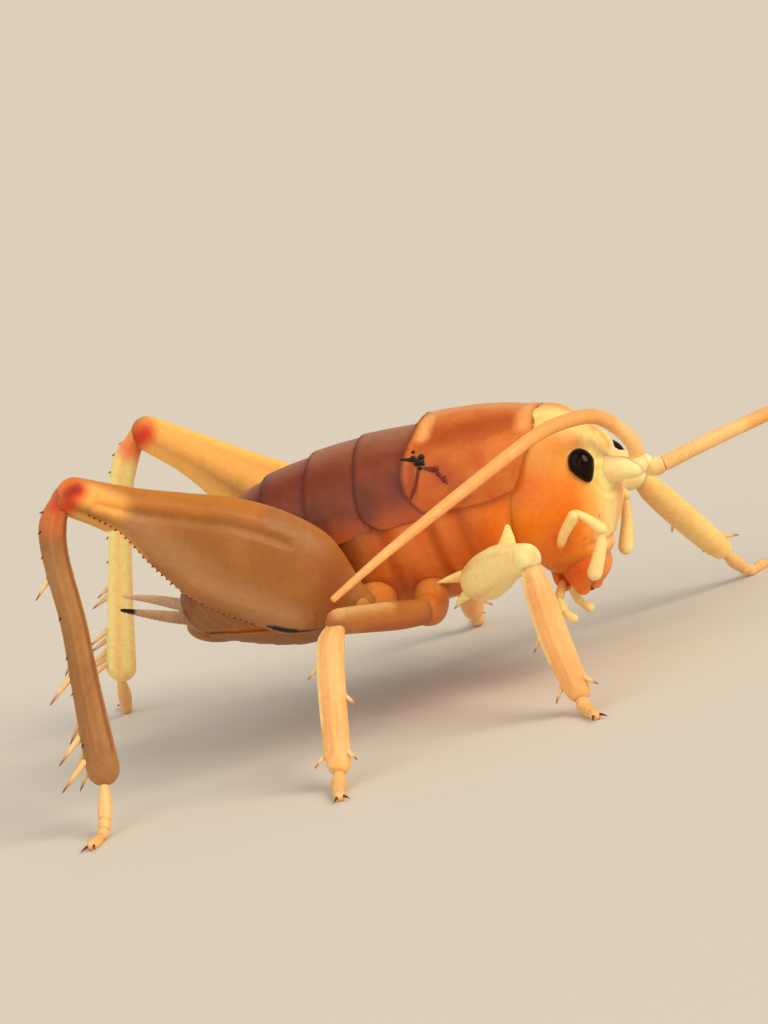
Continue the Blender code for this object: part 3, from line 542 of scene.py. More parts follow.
# Rings of the abdomen. Seven back plates lie over one another like roof tiles, with a plate
# of the belly under each and soft skin between them at the sides.
RING_EDGES = (-9.0, -11.2, -12.95, -14.15, -15.1, -15.85, -16.5, -17.05)
RING_OVERLAP = 0.6
TERGITE_TURN = math.radians(118)
STERNITE_TURN = math.radians(128)
for number, (front_x, rear_x) in enumerate(zip(RING_EDGES, RING_EDGES[1:]), start=1):
    tucked = front_x + RING_OVERLAP
    front = ((0.0, tucked), (1.0, tucked))
    rear = ((0.0, rear_x), (0.6, rear_x), (0.88, rear_x + 0.05), (1.0, rear_x + 0.4))
    name = f"abdomen_{number}_back"
    turns = (-TERGITE_TURN, TERGITE_TURN)
    stand = 0.06 if number < 4 else 0.02
    depth = PLATE_DEPTH if number < 4 else 0.4
    piece = plate(name, front, rear, turns, (-0.16, stand), across=44, along=12, depth=depth)
    tan_share = min(max((number - 2) / 2, 0.0), 1.0)
    for value in piece.data.attributes["rim"].data:
        value.value *= 1.0 - 0.75 * tan_share
    mark(piece, "dusk", [on_trunk(rear_x + 0.2, turn) for turn in steps(-1.8, 1.8, 12)], 0.6, 0.55)
    # The pale top along the back of each ring is partly its own lighter tone and partly a painted sheen.
    mark(piece, "pale_top_and_painted_sheen", [on_trunk(x, 0.0) for x in (rear_x + 0.3, front_x)], 2.3, 0.7 - 0.06 * number)
    for turn in (-1.75, 1.75):
        mark(piece, "warm", [on_trunk(x, turn) for x in (rear_x, front_x)], 1.5, 0.9)
        mark(piece, "tan", [on_trunk(x, turn * 1.1) for x in (rear_x, front_x)], 2.6, 1.4 * tan_share)
    dress(piece, mauve_plate, "abdomen_cuticle", f"abdomen_{number}")
    name = f"abdomen_{number}_belly"
    rear = ((0.0, rear_x), (1.0, rear_x + 0.3))
    turns = (STERNITE_TURN, 2 * math.pi - STERNITE_TURN)
    piece = plate(name, front, rear, turns, (-0.1, -0.02), across=20, along=8, depth=0.4)
    mark(piece, "tan", [on_trunk(x, math.pi) for x in (rear_x, front_x)], 6.0, 1.5)
    dress(piece, body_skin, "abdomen_cuticle")

# The tail plate closes the back behind the last ring.
TAIL_FRONT = -16.75
TAIL_TIP = -17.58
TAIL_REACH = 0.98
rings = []
for x in steps(TAIL_FRONT, TAIL_TIP, 7):
    top, bottom, half_width = read(TRUNK, x)
    round_off = math.sqrt(max(1 - ((TAIL_FRONT - x) / TAIL_REACH) ** 2, 0.0))
    half_height = (top - bottom) / 2 * (0.35 + 0.65 * round_off)
    lean = math.radians(lean_at(x))
    deep = Vector((-math.sin(lean), 0.0, math.cos(lean))) * half_height
    wide = Vector((0.0, half_width * (0.4 + 0.6 * round_off), 0.0))
    rings.append((spot(x, 0.0, (top + bottom) / 2), deep * MM, wide * MM))
tail = loft("tail_tip", rings, sides=24, levels=2)
mark(tail, "tan", [(-17.5, 0.0, 6.5)], 4.0, 1.6)
dress(tail, mauve_plate, "abdomen_cuticle", "tail_plate")

# Lower tail plate. The blunt scoop that closes the belly under the tail plate, of the same
# thin skin as the belly; a ball drawn out to its length and sunk in the end of the body.
SCOOP_SIZE = (2.4, 1.5, 1.15)
SCOOP_MIDDLE = (-15.45, 0.0, 6.3)
bpy.ops.object.select_all(action="DESELECT")
bpy.ops.mesh.primitive_uv_sphere_add(segments=48, ring_count=24, radius=1.0, location=(0, 0, 0))
scoop = bpy.context.object
scoop.name = "lower_tail_plate"
bpy.ops.object.mode_set(mode="EDIT")
bpy.ops.mesh.select_all(action="SELECT")
bpy.ops.transform.resize(value=tuple(size * MM for size in SCOOP_SIZE), center_override=(0, 0, 0))
bpy.ops.transform.translate(value=tuple(spot(*SCOOP_MIDDLE)))
bpy.ops.object.mode_set(mode="OBJECT")
bpy.ops.object.shade_smooth()
mark(scoop, "rear", ((-17.5, 0.0, 5.2), (-13.0, 0.0, 5.4)), 4.4, 1.0)
mark(scoop, "tan", ((-18.0, 0.0, 6.3), (-16.0, 0.0, 5.4)), 2.6, 1.0)
dress(scoop, body_skin, "back_cuticle", "tail_plate")

# Scar of an old wound on the first plate. It healed as a knobbly black clot with a short bar,
# from which thin reddish ridges run down the plate. They are half-sunk beads and thin tubes.
SCAR_KNOBS = (
    (-2.8, 0.61, 0.21), (-2.72, 0.57, 0.17), (-2.98, 0.62, 0.15), (-2.86, 0.66, 0.13),
    (-3.14, 0.57, 0.12), (-3.25, 0.59, 0.1), (-3.12, 0.52, 0.09), (-2.66, 0.63, 0.1),
)
SCAR_BAR = (-3.75, 0.6), (-3.45, 0.59), (-3.15, 0.585), (-2.9, 0.6)
SCAR_LINES = (
    ("down", ((-2.88, 0.66), (-3.05, 0.73), (-3.22, 0.8), (-3.4, 0.86), (-3.62, 0.93)), 0.075),
    ("fore", ((-2.62, 0.66), (-2.35, 0.68), (-2.05, 0.7), (-1.85, 0.75), (-1.62, 0.8)), 0.085),
)
FORE_KNOBS = (
    (-2.32, 0.67, 0.12), (-2.08, 0.68, 0.16), (-1.98, 0.72, 0.11), (-1.74, 0.775, 0.12), (-1.7, 0.75, 0.07),
)
RIDGE_SIZES = ((1.0, 1.0), (1.0, 1.1), (0.8, 1.0), (0.9, 1.0), (0.5, 0.5))
DOME_ANGLES = (25, 50, 70, 85)


def smooth_path(points, count):
    """Points at even steps along a smooth curve through the given ones."""
    rows = [(float(i), *point) for i, point in enumerate(points)]
    return [Vector(read(rows, u)) for u in steps(0.0, len(points) - 1.0, count)]


def tube_places(points, sizes, count, up):
    """Each step of a tube: its middle, along, wide and deep directions and two half sizes."""
    path = smooth_path(points, count)
    size_rows = [(float(i), *size) for i, size in enumerate(sizes)]
    places = []
    for i, point in enumerate(path):
        along = (path[min(i + 1, count - 1)] - path[max(i - 1, 0)]).normalized()
        wide = along.cross(Vector(up)).normalized()
        deep = wide.cross(along)
        half_depth, half_width = read(size_rows, i / (count - 1) * (len(sizes) - 1))
        places.append((point, along, wide, deep, half_depth, half_width))
    return places


def tube_rings(points, sizes, count, up=(0, 0, 1), dome=1.0):
    """The rings of a tube with domed ends, from points and half sizes in mm."""
    places = tube_places(points, sizes, count, up)
    ends = []
    for place, way in ((places[0], -1.0), (places[-1], 1.0)):
        point, along, wide, deep, half_depth, half_width = place
        caps = []
        for angle in DOME_ANGLES:
            out = math.sin(math.radians(angle)) * (half_depth + half_width) / 2 * dome
            thin = math.cos(math.radians(angle))
            end = point + along * out * way
            caps.append((end, along, wide, deep, half_depth * thin, half_width * thin))
        ends.append(caps)
    rings = []
    for point, along, wide, deep, half_depth, half_width in [*reversed(ends[0]), *places, *ends[1]]:
        rings.append((spot(*point), deep * half_depth * MM, wide * half_width * MM))
    return rings


def join(name, pieces):
    """Joins pieces into one object, which keeps their attributes."""
    bpy.ops.object.select_all(action="DESELECT")
    for piece in pieces:
        piece.select_set(True)
    bpy.context.view_layer.objects.active = pieces[0]
    bpy.ops.object.join()
    bpy.ops.object.shade_smooth()
    pieces[0].name = name
    pieces[0].data.name = name
    return pieces[0]


def bead(centre, size, flat=0.75):
    """A knob on the saddle's side, pressed a little flat against it."""
    bpy.ops.object.select_all(action="DESELECT")
    bpy.ops.mesh.primitive_ico_sphere_add(subdivisions=3, radius=size * MM, location=spot(*centre))
    bpy.ops.transform.resize(value=(1.0, flat, 0.9))
    bpy.ops.object.transform_apply(location=True, rotation=True, scale=True)
    return bpy.context.object


scab = cuticle("healed_black_cuticle", "#140906", "#26100A", rough=0.3, glow=0.0, grain=0.1, relief=0.8)
sore = cuticle("healed_red_cuticle", "#6E1C10", "#842A16", rough=0.35, glow=0.3, reach=0.3, grain=0.1)
knobs = [bead(on_saddle(x, share, -1), size) for x, share, size in SCAR_KNOBS]
bar = tube_rings(saddle_line(-1, *SCAR_BAR), ((0.05, 0.06), (0.09, 0.1), (0.12, 0.14), (0.1, 0.12)), 12)
knobs.append(loft("bar", bar, sides=10))
dress(join("scar_clot", knobs), scab, "back_cuticle")
knobs = [bead(on_saddle(x, share, -1), size) for x, share, size in FORE_KNOBS]
for name, pairs, size in SCAR_LINES:
    sizes = [(size * deep, size * wide) for deep, wide in RIDGE_SIZES]
    knobs.append(loft(name, tube_rings(saddle_line(-1, *pairs), sizes, 18), sides=10))
dress(join("scar_ridges", knobs), sore, "back_cuticle")

# Head capsule. One hard shell, pale and waxy in front and orange at the cheeks, with shallow
# seams, a raised rim round each eye and a socket for each feeler. It is grown level by level
# upwards while it stands straight, shaped there, and only then turned on its neck.
HEAD_LEVELS = (
    (5.3, 4.3, 1.45, 1.85),
    (5.9, 4.65, 1.2, 2.3),
    (6.8, 5.15, 0.8, 2.75),
    (7.8, 5.6, 0.65, 3.02),
    (8.9, 5.82, 0.7, 3.12),
    (10.0, 5.75, 0.8, 3.05),
    (11.0, 5.42, 0.9, 2.85),
    (11.8, 4.98, 0.9, 2.55),
    (12.5, 4.35, 1.0, 2.05),
    (13.0, 3.7, 1.2, 1.45),
    (13.25, 3.1, 1.6, 0.8),
)
# How far back each height of it reaches: its cheeks run on under the edge of the first plate.
NAPE_LEVELS = (
    (5.3, 1.4), (6.8, 0.3), (7.8, -0.4), (8.9, -1.1), (10.0, -1.6), (11.0, -1.7), (12.0, -1.1), (13.25, 1.0),
)
CHIN_X = 2.9
CHIN_HALF = (1.42, 1.85)
FACE_POWER = 0.92
NAPE_POWER = 0.7
NECK = Vector((2.0, 0.0, 9.5))
HEAD_TURN = (
    Matrix.Translation(NECK)
    @ Matrix.Rotation(math.radians(-3.0), 4, "Z")
    @ Matrix.Rotation(math.radians(-6.0), 4, "X")
    @ Matrix.Translation(-NECK)
)
EYE_MIDDLE = Vector((4.88, -2.5, 10.1))
SOCKET_Y = -0.95
SOCKET_Z = 9.55
SOCKET_HALF = 0.72


def turn_head(piece):
    """Turns a piece made on the straight head to the way the head is held."""
    turned = np.array(HEAD_TURN)
    place_points(piece, points_of(piece) @ turned[:3, :3].T + turned[:3, 3])


def on_head(points, side=1):
    """Points of the right side, mirrored for side -1 and carried with the head's turn."""
    return [HEAD_TURN @ Vector((x, y * side, z)) for x, y, z in points]


def face(y, z, side=1):
    """A point on the front of the straight head at y and z."""
    front, rear, half_width = read(HEAD_LEVELS, z)
    fore = max(1.0 - (abs(y) / half_width) ** (2 / FACE_POWER), 0.0) ** (FACE_POWER / 2)
    return Vector(((front + rear) / 2 + (front - rear) / 2 * fore, y * side, z))


def cheek(back, z, side=1):
    """A point on the side of the straight head, back from its widest place, at z."""
    front, rear, half_width = read(HEAD_LEVELS, z)
    middle = (front + rear) / 2
    width = half_width * max(1.0 - back**2, 0.0) ** (NAPE_POWER / 2)
    return Vector((middle - (middle - read(NAPE_LEVELS, z)[0]) * back**NAPE_POWER, -width * side, z))


def power(value, exponent):
    return math.copysign(abs(value) ** exponent, value)


rings = []
for z in steps(5.3, 13.25, 40):
    front, rear, half_width = read(HEAD_LEVELS, z)
    deep = Vector(((front - rear) / 2, 0.0, 0.0))
    wide = Vector((0.0, half_width, 0.0))
    rings.append((spot((front + rear) / 2, 0.0, z), deep * MM, wide * MM))
for shrink, drop in ((0.93, 0.2), (0.75, 0.36), (0.45, 0.46)):
    deep = Vector((CHIN_HALF[0] * shrink, 0.0, 0.0))
    wide = Vector((0.0, CHIN_HALF[1] * shrink, 0.0))
    rings.insert(0, (spot(CHIN_X, 0.0, 5.3 - drop), deep * MM, wide * MM))
head = loft("head_capsule", rings, sides=72, levels=0)
for vert in head.data.vertices:
    x, y, z = (vert.co - AXES) / MM
    if z < HEAD_LEVELS[0][0]:
        continue
    front, rear, half_width = read(HEAD_LEVELS, z)
    middle = (front + rear) / 2
    angle = math.atan2(y / half_width, (x - middle) / ((front - rear) / 2))
    shape = FACE_POWER if math.cos(angle) > 0 else NAPE_POWER
    reach = (front - rear) / 2 if math.cos(angle) > 0 else middle - read(NAPE_LEVELS, z)[0]
    fore = reach * power(math.cos(angle), shape)
    vert.co = spot(middle + fore, half_width * power(math.sin(angle), shape), z)
refine(head, 2)

# What each half of the head has, by the distance from the middle of its face, or the share of
# the way round its cheek, and the height.
HEAD_FORMS = (
    # A swelling ridge runs from the eye's front edge to the feeler's socket, and one above it.
    ("relief", ((face, -2.05, 9.98), (face, -1.5, 9.95)), 0.4, -0.15),
    ("relief", ((face, -1.85, 10.5), (face, -1.35, 10.95)), 0.55, -0.16),
    # The cream on the brow is partly the ridge's own pale tone and partly a painted highlight.
    ("cream", ((face, -2.1, 10.0), (face, -1.6, 10.6), (face, -1.2, 11.0)), 1.2, 1.4),
    # A shallow seam drops from the eye's lower point and bends under the socket.
    (
        "relief",
        (
            (face, -2.1, 9.1), (face, -1.95, 8.75), (face, -1.6, 8.45), (face, -1.1, 8.35),
            (face, -0.75, 8.6), (face, -0.4, 8.9),
        ),
        0.24, 0.07,
    ),
    ("relief", ((face, -1.5, 8.25), (face, -1.0, 8.15)), 0.3, -0.06),
    # The long seam below the eye, down to the root of the jaw.
    ("relief", ((face, -2.3, 8.85), (face, -2.35, 8.0), (face, -2.15, 6.9), (face, -1.9, 6.1)), 0.26, 0.05),
    ("gold", ((face, -2.6, 10.6), (cheek, 0.2, 11.4), (cheek, 0.6, 11.8)), 1.5, 0.9),
    ("gold", ((face, -2.45, 9.2), (face, -2.2, 7.2)), 1.0, 0.9),
    ("cream", ((face, -0.9, 6.6), (face, -1.2, 8.4), (face, -1.5, 9.6)), 1.7, 1.15),
    ("cream", ((face, -1.8, 9.2), (face, -1.7, 7.6)), 1.0, 0.8),
    ("cream", ((face, -0.8, 10.8), (face, -1.2, 12.0), (cheek, 0.3, 12.6)), 1.7, 0.85),
    ("cream", ((face, -0.9, 12.2), (cheek, 0.5, 12.7), (cheek, 0.9, 12.6)), 1.6, 1.1),
    ("gold", ((face, -1.4, 11.6), (cheek, 0.4, 12.0), (cheek, 0.8, 12.0)), 1.6, 0.9),
    ("rust", ((cheek, 0.2, 5.3), (face, -1.7, 5.3)), 0.9, 0.7),
    # The hind edge of the cheek is a low rolled rim.
    ("relief", ((cheek, 0.82, 6.2), (cheek, 0.9, 7.2), (cheek, 0.93, 8.4)), 0.4, -0.1),
)


def head_line(side, *places):
    return [surface(across, z, side) for surface, across, z in places]


for side in (1, -1):
    eye_place = [Vector((EYE_MIDDLE.x, EYE_MIDDLE.y * side, EYE_MIDDLE.z))]
    press(head, eye_place, 1.5, -0.12)
    press(head, eye_place, 1.0, 0.22)
    socket = []
    for angle in steps(0.0, 2 * math.pi, 17):
        y = SOCKET_Y + SOCKET_HALF * math.cos(angle)
        socket.append(face(y, SOCKET_Z + SOCKET_HALF * math.sin(angle), side))
    press(head, socket, 0.3, -0.08)
    mark(head, "cream", [*socket, face(SOCKET_Y, SOCKET_Z, side)], 0.9, 1.3)
    add_forms(head, partial(head_line, side), HEAD_FORMS)
# The face ends in a lip-like plate, set off by a groove, and the brow has a small double knob.
clypeus_line = [face(y, 6.15) for y in steps(-1.9, 1.9, 11)]
press(head, clypeus_line, 0.26, 0.1)
mark(head, "rust", clypeus_line, 0.2, 0.3)
press(head, [face(y, 5.75) for y in steps(-1.2, 1.2, 7)], 0.5, -0.09)
for y in (-0.28, 0.28):
    press(head, [face(y, 10.7), face(y, 11.2)], 0.36, -0.16)
press(head, [face(0.0, 9.9), face(0.0, 7.6)], 0.6, -0.08)
mark(head, "rust", [face(-2.3, 6.55)], 0.16, 0.8)
mark(head, "dot", [face(-1.95, 7.45)], 0.1, 0.9)
turn_head(head)
head_shell = cuticle(
    "waxy_head_cuticle", "#F08408", "#F49420", rough=0.34, reach=0.45, shine=0.45,
    marks=(("gold", "#FAB048"), ("cream", "#FEDC8C"), ("rust", "#D05A0C"), ("dot", "#6A3A1C")),
)
dress(head, head_shell, "head_cuticle", "head")

# Eyes. Each is a black drop of many fine facets, glossy, with its point low in front, and is
# sunk in its rim by half. It is a ball pulled to the drop's shape.
EYE_OUT = Vector((0.5, -0.86, 0.12)).normalized()
EYE_DOWN = Vector((0.2, 0.0, -0.98))
EYE_DOWN = (EYE_DOWN - EYE_OUT * EYE_DOWN.dot(EYE_OUT)).normalized()
EYE_SIZE = (0.82, 0.64, 0.6)
EYE_NARROW = 0.38
EYE_DROP = 0.14
FACET = 0.04

eye_gloss = bpy.data.materials.new("faceted_eye_lens")
eye_gloss.use_nodes = True
tree = eye_gloss.node_tree
shader = tree.nodes["Principled BSDF"]
shader.inputs["Base Color"].default_value = linear("#160502")
shader.inputs["Roughness"].default_value = 0.12
shader.inputs["Specular IOR Level"].default_value = 0.12
shader.inputs["IOR"].default_value = 1.5
place = add(tree, "ShaderNodeTexCoord")
facets = add(
    tree, "ShaderNodeTexVoronoi", [("Vector", place.outputs["Object"])],
    in_Scale=1.0 / (FACET * MM), in_Randomness=0.3,
)
bump = add(
    tree, "ShaderNodeBump", [("Height", facets.outputs["Distance"])],
    in_Strength=0.2, in_Distance=0.005 * MM, invert=True,
)
tree.links.new(bump.outputs["Normal"], shader.inputs["Normal"])
# The left eye stands a little lower and further out than the right one.
LEFT_SHIFT = Vector((0.0, -0.3, -0.4))
LEFT_SIZE = 1.15
for side, word in ((1, "right"), (-1, "left")):
    centre = EYE_MIDDLE if word == "right" else EYE_MIDDLE + LEFT_SHIFT
    grow = 1.0 if word == "right" else LEFT_SIZE
    bpy.ops.object.select_all(action="DESELECT")
    bpy.ops.mesh.primitive_uv_sphere_add(segments=64, ring_count=40, radius=1.0)
    eye = bpy.context.object
    eye.name = f"eye_{word}_lens"
    eye.data.name = eye.name
    high, broad, thick = [size * grow for size in EYE_SIZE]
    across = EYE_OUT.cross(EYE_DOWN)
    for vert in eye.data.vertices:
        round_across, round_down, out = vert.co
        low = max(round_down, 0.0)
        point = centre + EYE_OUT * thick * out
        point = point + EYE_DOWN * high * (1.0 + EYE_DROP * low) * round_down
        point = point + across * broad * (1.0 - EYE_NARROW * low) * round_across
        vert.co = spot(point.x, point.y * side, point.z)
    turn_head(eye)
    bpy.ops.object.mode_set(mode="EDIT")
    bpy.ops.mesh.select_all(action="SELECT")
    bpy.ops.mesh.normals_make_consistent(inside=False)
    bpy.ops.object.mode_set(mode="OBJECT")
    bpy.ops.object.shade_smooth()
    dress(eye, eye_gloss, "eye", f"eye_{word}")

# Mouthparts. Under the face hang the upper lip, the two biting jaws, dark at their edges, and
# the lower lip. Each jaw carries the line of the cheek on downwards, so that little shows of
# the gap between them.
LABRUM = (
    (4.0, 0.0, 5.5, 0.3, 1.3),
    (4.05, 0.0, 5.0, 0.27, 1.2),
    (3.85, 0.0, 4.5, 0.28, 1.08),
    (3.45, 0.0, 4.1, 0.26, 0.7),
)
MANDIBLE = (
    (3.1, -1.0, 5.7, 1.05, 0.95),
    (3.15, -1.0, 5.2, 1.02, 0.92),
    (3.15, -0.92, 4.75, 0.88, 0.82),
    (3.05, -0.78, 4.35, 0.66, 0.64),
    (2.9, -0.6, 4.1, 0.4, 0.42),
)
LABIUM = ((1.75, 0.0, 5.3, 0.35, 1.0), (1.75, 0.0, 4.6, 0.3, 0.9), (1.85, 0.0, 4.25, 0.26, 0.6))


def stacked(name, levels, side):
    """A piece grown downwards through levels of middle, height, half depth and half width."""
    rings = []
    rows = [(float(i), *level) for i, level in enumerate(levels)]
    places = [read(rows, u) for u in steps(0.0, len(levels) - 1.0, 14)]
    x, y, z, half_depth, half_width = levels[-1]
    for angle in DOME_ANGLES:
        shrink = math.cos(math.radians(angle))
        drop = math.sin(math.radians(angle)) * half_depth
        places.append((x, y, z - drop, half_depth * shrink, half_width * shrink))
    for x, y, z, half_depth, half_width in places:
        deep = Vector((half_depth, 0.0, 0.0)) * MM
        wide = Vector((0.0, half_width, 0.0)) * MM
        rings.append((spot(x, y * side, z), deep, wide))
    piece = loft(name, rings, sides=32, levels=1)
    turn_head(piece)
    return piece


lip = cuticle(
    "rusty_mouth_cuticle", "#E06A10", "#EC7C1C", rough=0.36, reach=0.5,
    marks=(("pale", "#F09A40"), ("dark", "#4A1608")),
)
for name, levels, side, node in (
    ("upper_lip", LABRUM, 1, "labrum"),
    ("right_jaw", MANDIBLE, 1, "mandible_right"),
    ("left_jaw", MANDIBLE, -1, "mandible_left"),
    ("lower_lip", LABIUM, 1, "labium"),
):
    piece = stacked(name, levels, side)
    if "jaw" in name:
        mark(piece, "dark", on_head([(2.9, -0.25, 3.9), (3.1, -0.2, 4.6)], side), 0.7, 1.0)
        press(piece, on_head([(2.6, -1.75, 5.4), (2.7, -1.3, 4.3)], side), 0.3, 0.06)
    if name == "upper_lip":
        mark(piece, "pale", on_head([(4.3, 0.0, 5.0)]), 1.3, 0.8)
        press(piece, on_head([(4.3, 0.0, 5.1), (3.9, 0.0, 4.2)]), 0.3, 0.06)
    dress(piece, lip, "mouth_cuticle", node)

# Palps. Behind each jaw a long leg-like palp of five pieces feels over the food, its last
# piece swollen like a club, and the lower lip has a short one on each side. Every piece is a
# tube that widens to its far end and stands in the mouth of the one before.
PALP_ROOT = ((2.8, -1.8, 5.95), (2.84, -2.3, 6.1))
PALP_LOW = ((2.86, -2.45, 6.15), (2.93, -2.9, 6.35))
PALPS = {
    "right": (
        ((2.98, -3.05, 6.46), (3.5, -3.38, 7.15), (4.22, -3.6, 7.86)),
        ((4.4, -3.62, 7.98), (4.95, -3.63, 7.5), (5.38, -3.6, 6.98)),
        ((5.36, -3.6, 6.75), (5.05, -3.52, 5.95), (4.5, -3.4, 4.95)),
    ),
    "left": (
        ((2.98, -3.05, 6.46), (3.5, -3.35, 7.2), (4.2, -3.5, 7.95)),
        ((4.38, -3.5, 8.1), (4.66, -3.48, 8.0), (4.84, -3.43, 7.68)),
        ((4.86, -3.38, 7.45), (4.72, -3.2, 6.4), (4.4, -3.0, 5.2)),
    ),
}
PALP_SIZES = (
    ((0.2, 0.2), (0.25, 0.25), (0.31, 0.31)),
    ((0.17, 0.17), (0.24, 0.24), (0.3, 0.3)),
    ((0.18, 0.18), (0.27, 0.27), (0.33, 0.33), (0.38, 0.38)),
)
LIP_PALP = (
    ((1.95, -0.75, 4.5), (1.8, -1.1, 4.0)),
    ((1.76, -1.2, 3.85), (1.9, -1.42, 3.3)),
    ((1.97, -1.46, 3.15), (2.3, -1.5, 2.8)),
)
palp_skin = cuticle(
    "pale_palp_cuticle", "#FCD88E", "#FDE09C", rough=0.36, glow=0.4, reach=0.25, relief=0.25,
    marks=(("joint", "#F4B064"), ("tip", "#FDE8A0"), ("root", "#F07A1C")),
)
for side, word in ((1, "right"), (-1, "left")):
    pieces = []
    for points in (PALP_ROOT, PALP_LOW):
        points = on_head(points, side)
        pieces.append(loft("short", tube_rings(points, ((0.1, 0.1), (0.12, 0.12)), 8), sides=20))
    first, second, third = PALPS[word]
    pieces.append(loft("long", tube_rings(on_head(first, side), PALP_SIZES[0], 24), sides=24))
    base = join(f"palp_{word}_first", pieces)
    for offset in (-0.12, 0.12):
        streak = [(x, y - 0.25, z + offset) for x, y, z in first]
        press(base, on_head(streak, side), 0.1, 0.03)
    mark(base, "root", on_head([*PALP_ROOT, *PALP_LOW], side), 0.75, 2.0)
    dress(base, palp_skin, "mouth_cuticle", f"palp_{word}_base")
    pieces = [
        loft("fourth", tube_rings(on_head(second, side), PALP_SIZES[1], 20), sides=24),
        loft("club", tube_rings(on_head(third, side), PALP_SIZES[2], 28), sides=24),
    ]
    end = join(f"palp_{word}_last", pieces)
    mark(end, "tip", on_head(third[1:], side), 0.9, 0.9)
    mark(end, "joint", on_head([third[0], second[0]], side), 0.25, 0.5)
    dress(end, palp_skin, "mouth_cuticle", f"palp_{word}_end")
    pieces = []
    for points in LIP_PALP:
        sizes = ((0.18, 0.18), (0.25, 0.25))
        pieces.append(loft("lip_piece", tube_rings(on_head(points, side), sizes, 10), sides=18))
    small = join(f"lip_palp_{word}_skin", pieces)
    mark(small, "joint", on_head([LIP_PALP[0][0]], side), 1.0, 0.9)
    dress(small, palp_skin, "mouth_cuticle", f"lip_palp_{word}")

# Feelers. Each has a stout first piece in its socket, a short second one, and a long lash of
# a hundred and more short rings, a little wider at their far ends, that thins toward the tip.
SCAPE = ((4.7, -0.95, 9.5), (5.6, -1.0, 9.48), (6.4, -1.05, 9.4), (6.95, -1.1, 9.25))
SCAPE_SIZES = ((0.72, 0.72), (0.72, 0.68), (0.64, 0.6), (0.56, 0.54), (0.44, 0.44))
PEDICELS = {
    "right": ((6.95, -1.12, 9.2), (7.12, -1.15, 9.5), (7.16, -1.2, 9.9)),
    "left": ((7.0, 0.85, 8.85), (7.4, 0.86, 8.82), (7.8, 0.88, 8.86)),
}
PEDICEL_SIZES = ((0.36, 0.36), (0.44, 0.44), (0.46, 0.46), (0.4, 0.4))
LASHES = {
    "right": (
        (7.16, -1.2, 9.95), (7.18, -1.3, 10.5), (6.9, -1.6, 11.3), (6.35, -2.3, 12.2), (5.8, -3.2, 12.7),
        (4.75, -4.9, 12.95), (3.75, -6.5, 12.85), (2.55, -8.25, 12.45), (-0.2, -11.7, 11.4),
        (-2.6, -14.2, 10.4), (-4.8, -16.3, 9.35),
    ),
    "left": (
        (7.85, 0.88, 8.86), (9.5, 1.45, 9.2), (11.3, 2.5, 9.45), (13.0, 3.6, 9.65), (15.8, 5.4, 10.0),
        (18.1, 6.8, 10.25), (20.2, 8.0, 10.3), (22.8, 9.4, 10.2), (24.7, 10.3, 9.9), (26.5, 11.0, 9.4),
    ),
}
LASH_SIZES = ((0.0, 0.4), (0.3, 0.35), (0.6, 0.3), (0.8, 0.24), (1.0, 0.16))
LASH_RINGS = 140
RING_PROFILE = (0.97, 1.0, 1.02, 1.02)
LASH_SIDES = 16


def even_path(points, count):
    """Points at even distances along the smooth curve through the given ones."""
    fine = np.array([tuple(point) for point in smooth_path(points, 800)])
    gone = np.concatenate(([0.0], np.cumsum(np.linalg.norm(np.diff(fine, axis=0), axis=1))))
    wanted = np.linspace(0.0, gone[-1], count)
    return [Vector(place) for place in zip(*(np.interp(wanted, gone, fine[:, i]) for i in range(3)))]


feeler_skin = cuticle(
    "ringed_feeler_cuticle", "#F2A65E", "#F6B66E", rough=0.42, glow=0.4, reach=0.25, relief=0.25,
    marks=(("pale", "#FEE6A4"), ("band", "#D08840")),
)
for side, word in ((1, "right"), (-1, "left")):
    root = loft("scape", tube_rings(on_head(SCAPE, side), SCAPE_SIZES, 28), sides=28)
    short = loft("pedicel", tube_rings(PEDICELS[word], PEDICEL_SIZES, 14, (0.2, 1, 0.1), dome=0.5), sides=28)
    stem = join(f"feeler_{word}_root", [root, short])
    mark(stem, "pale", on_head(SCAPE, side), 1.5, 1.4)
    mark(stem, "band", [PEDICELS[word][0]], 0.3, 0.15)
    dress(stem, feeler_skin, "feeler_cuticle", f"antenna_{word}_scape")

    count = LASH_RINGS * len(RING_PROFILE)
    path = even_path(LASHES[word], count)
    rings = []
    bands = []
    for i, point in enumerate(path):
        along = (path[min(i + 1, count - 1)] - path[max(i - 1, 0)]).normalized()
        wide = along.cross(Vector((0.2, 0.1, 1.0))).normalized()
        deep = wide.cross(along)
        share = i / (count - 1)
        step = i % len(RING_PROFILE)
        half = read(LASH_SIZES, share)[0] * RING_PROFILE[step]
        if i in (0, count - 1):
            half *= 0.6
        rings.append((spot(*point), deep * half * MM, wide * half * MM))
        bands.append(0.4 if step == 0 else 0.0)
    lash = loft(f"feeler_{word}_lash", rings, sides=LASH_SIDES, levels=0)
    layer = lash.data.attributes.new("band", "FLOAT", "POINT")
    for vert in lash.data.vertices:
        layer.data[vert.index].value = bands[min(vert.index // LASH_SIDES, count - 1)]
    refine(lash, 1)
    mark(lash, "pale", LASHES[word][:3], 1.2, 0.55)
    dress(lash, feeler_skin, "feeler_cuticle", *[f"antenna_{word}_{i}" for i in (1, 2, 3)])

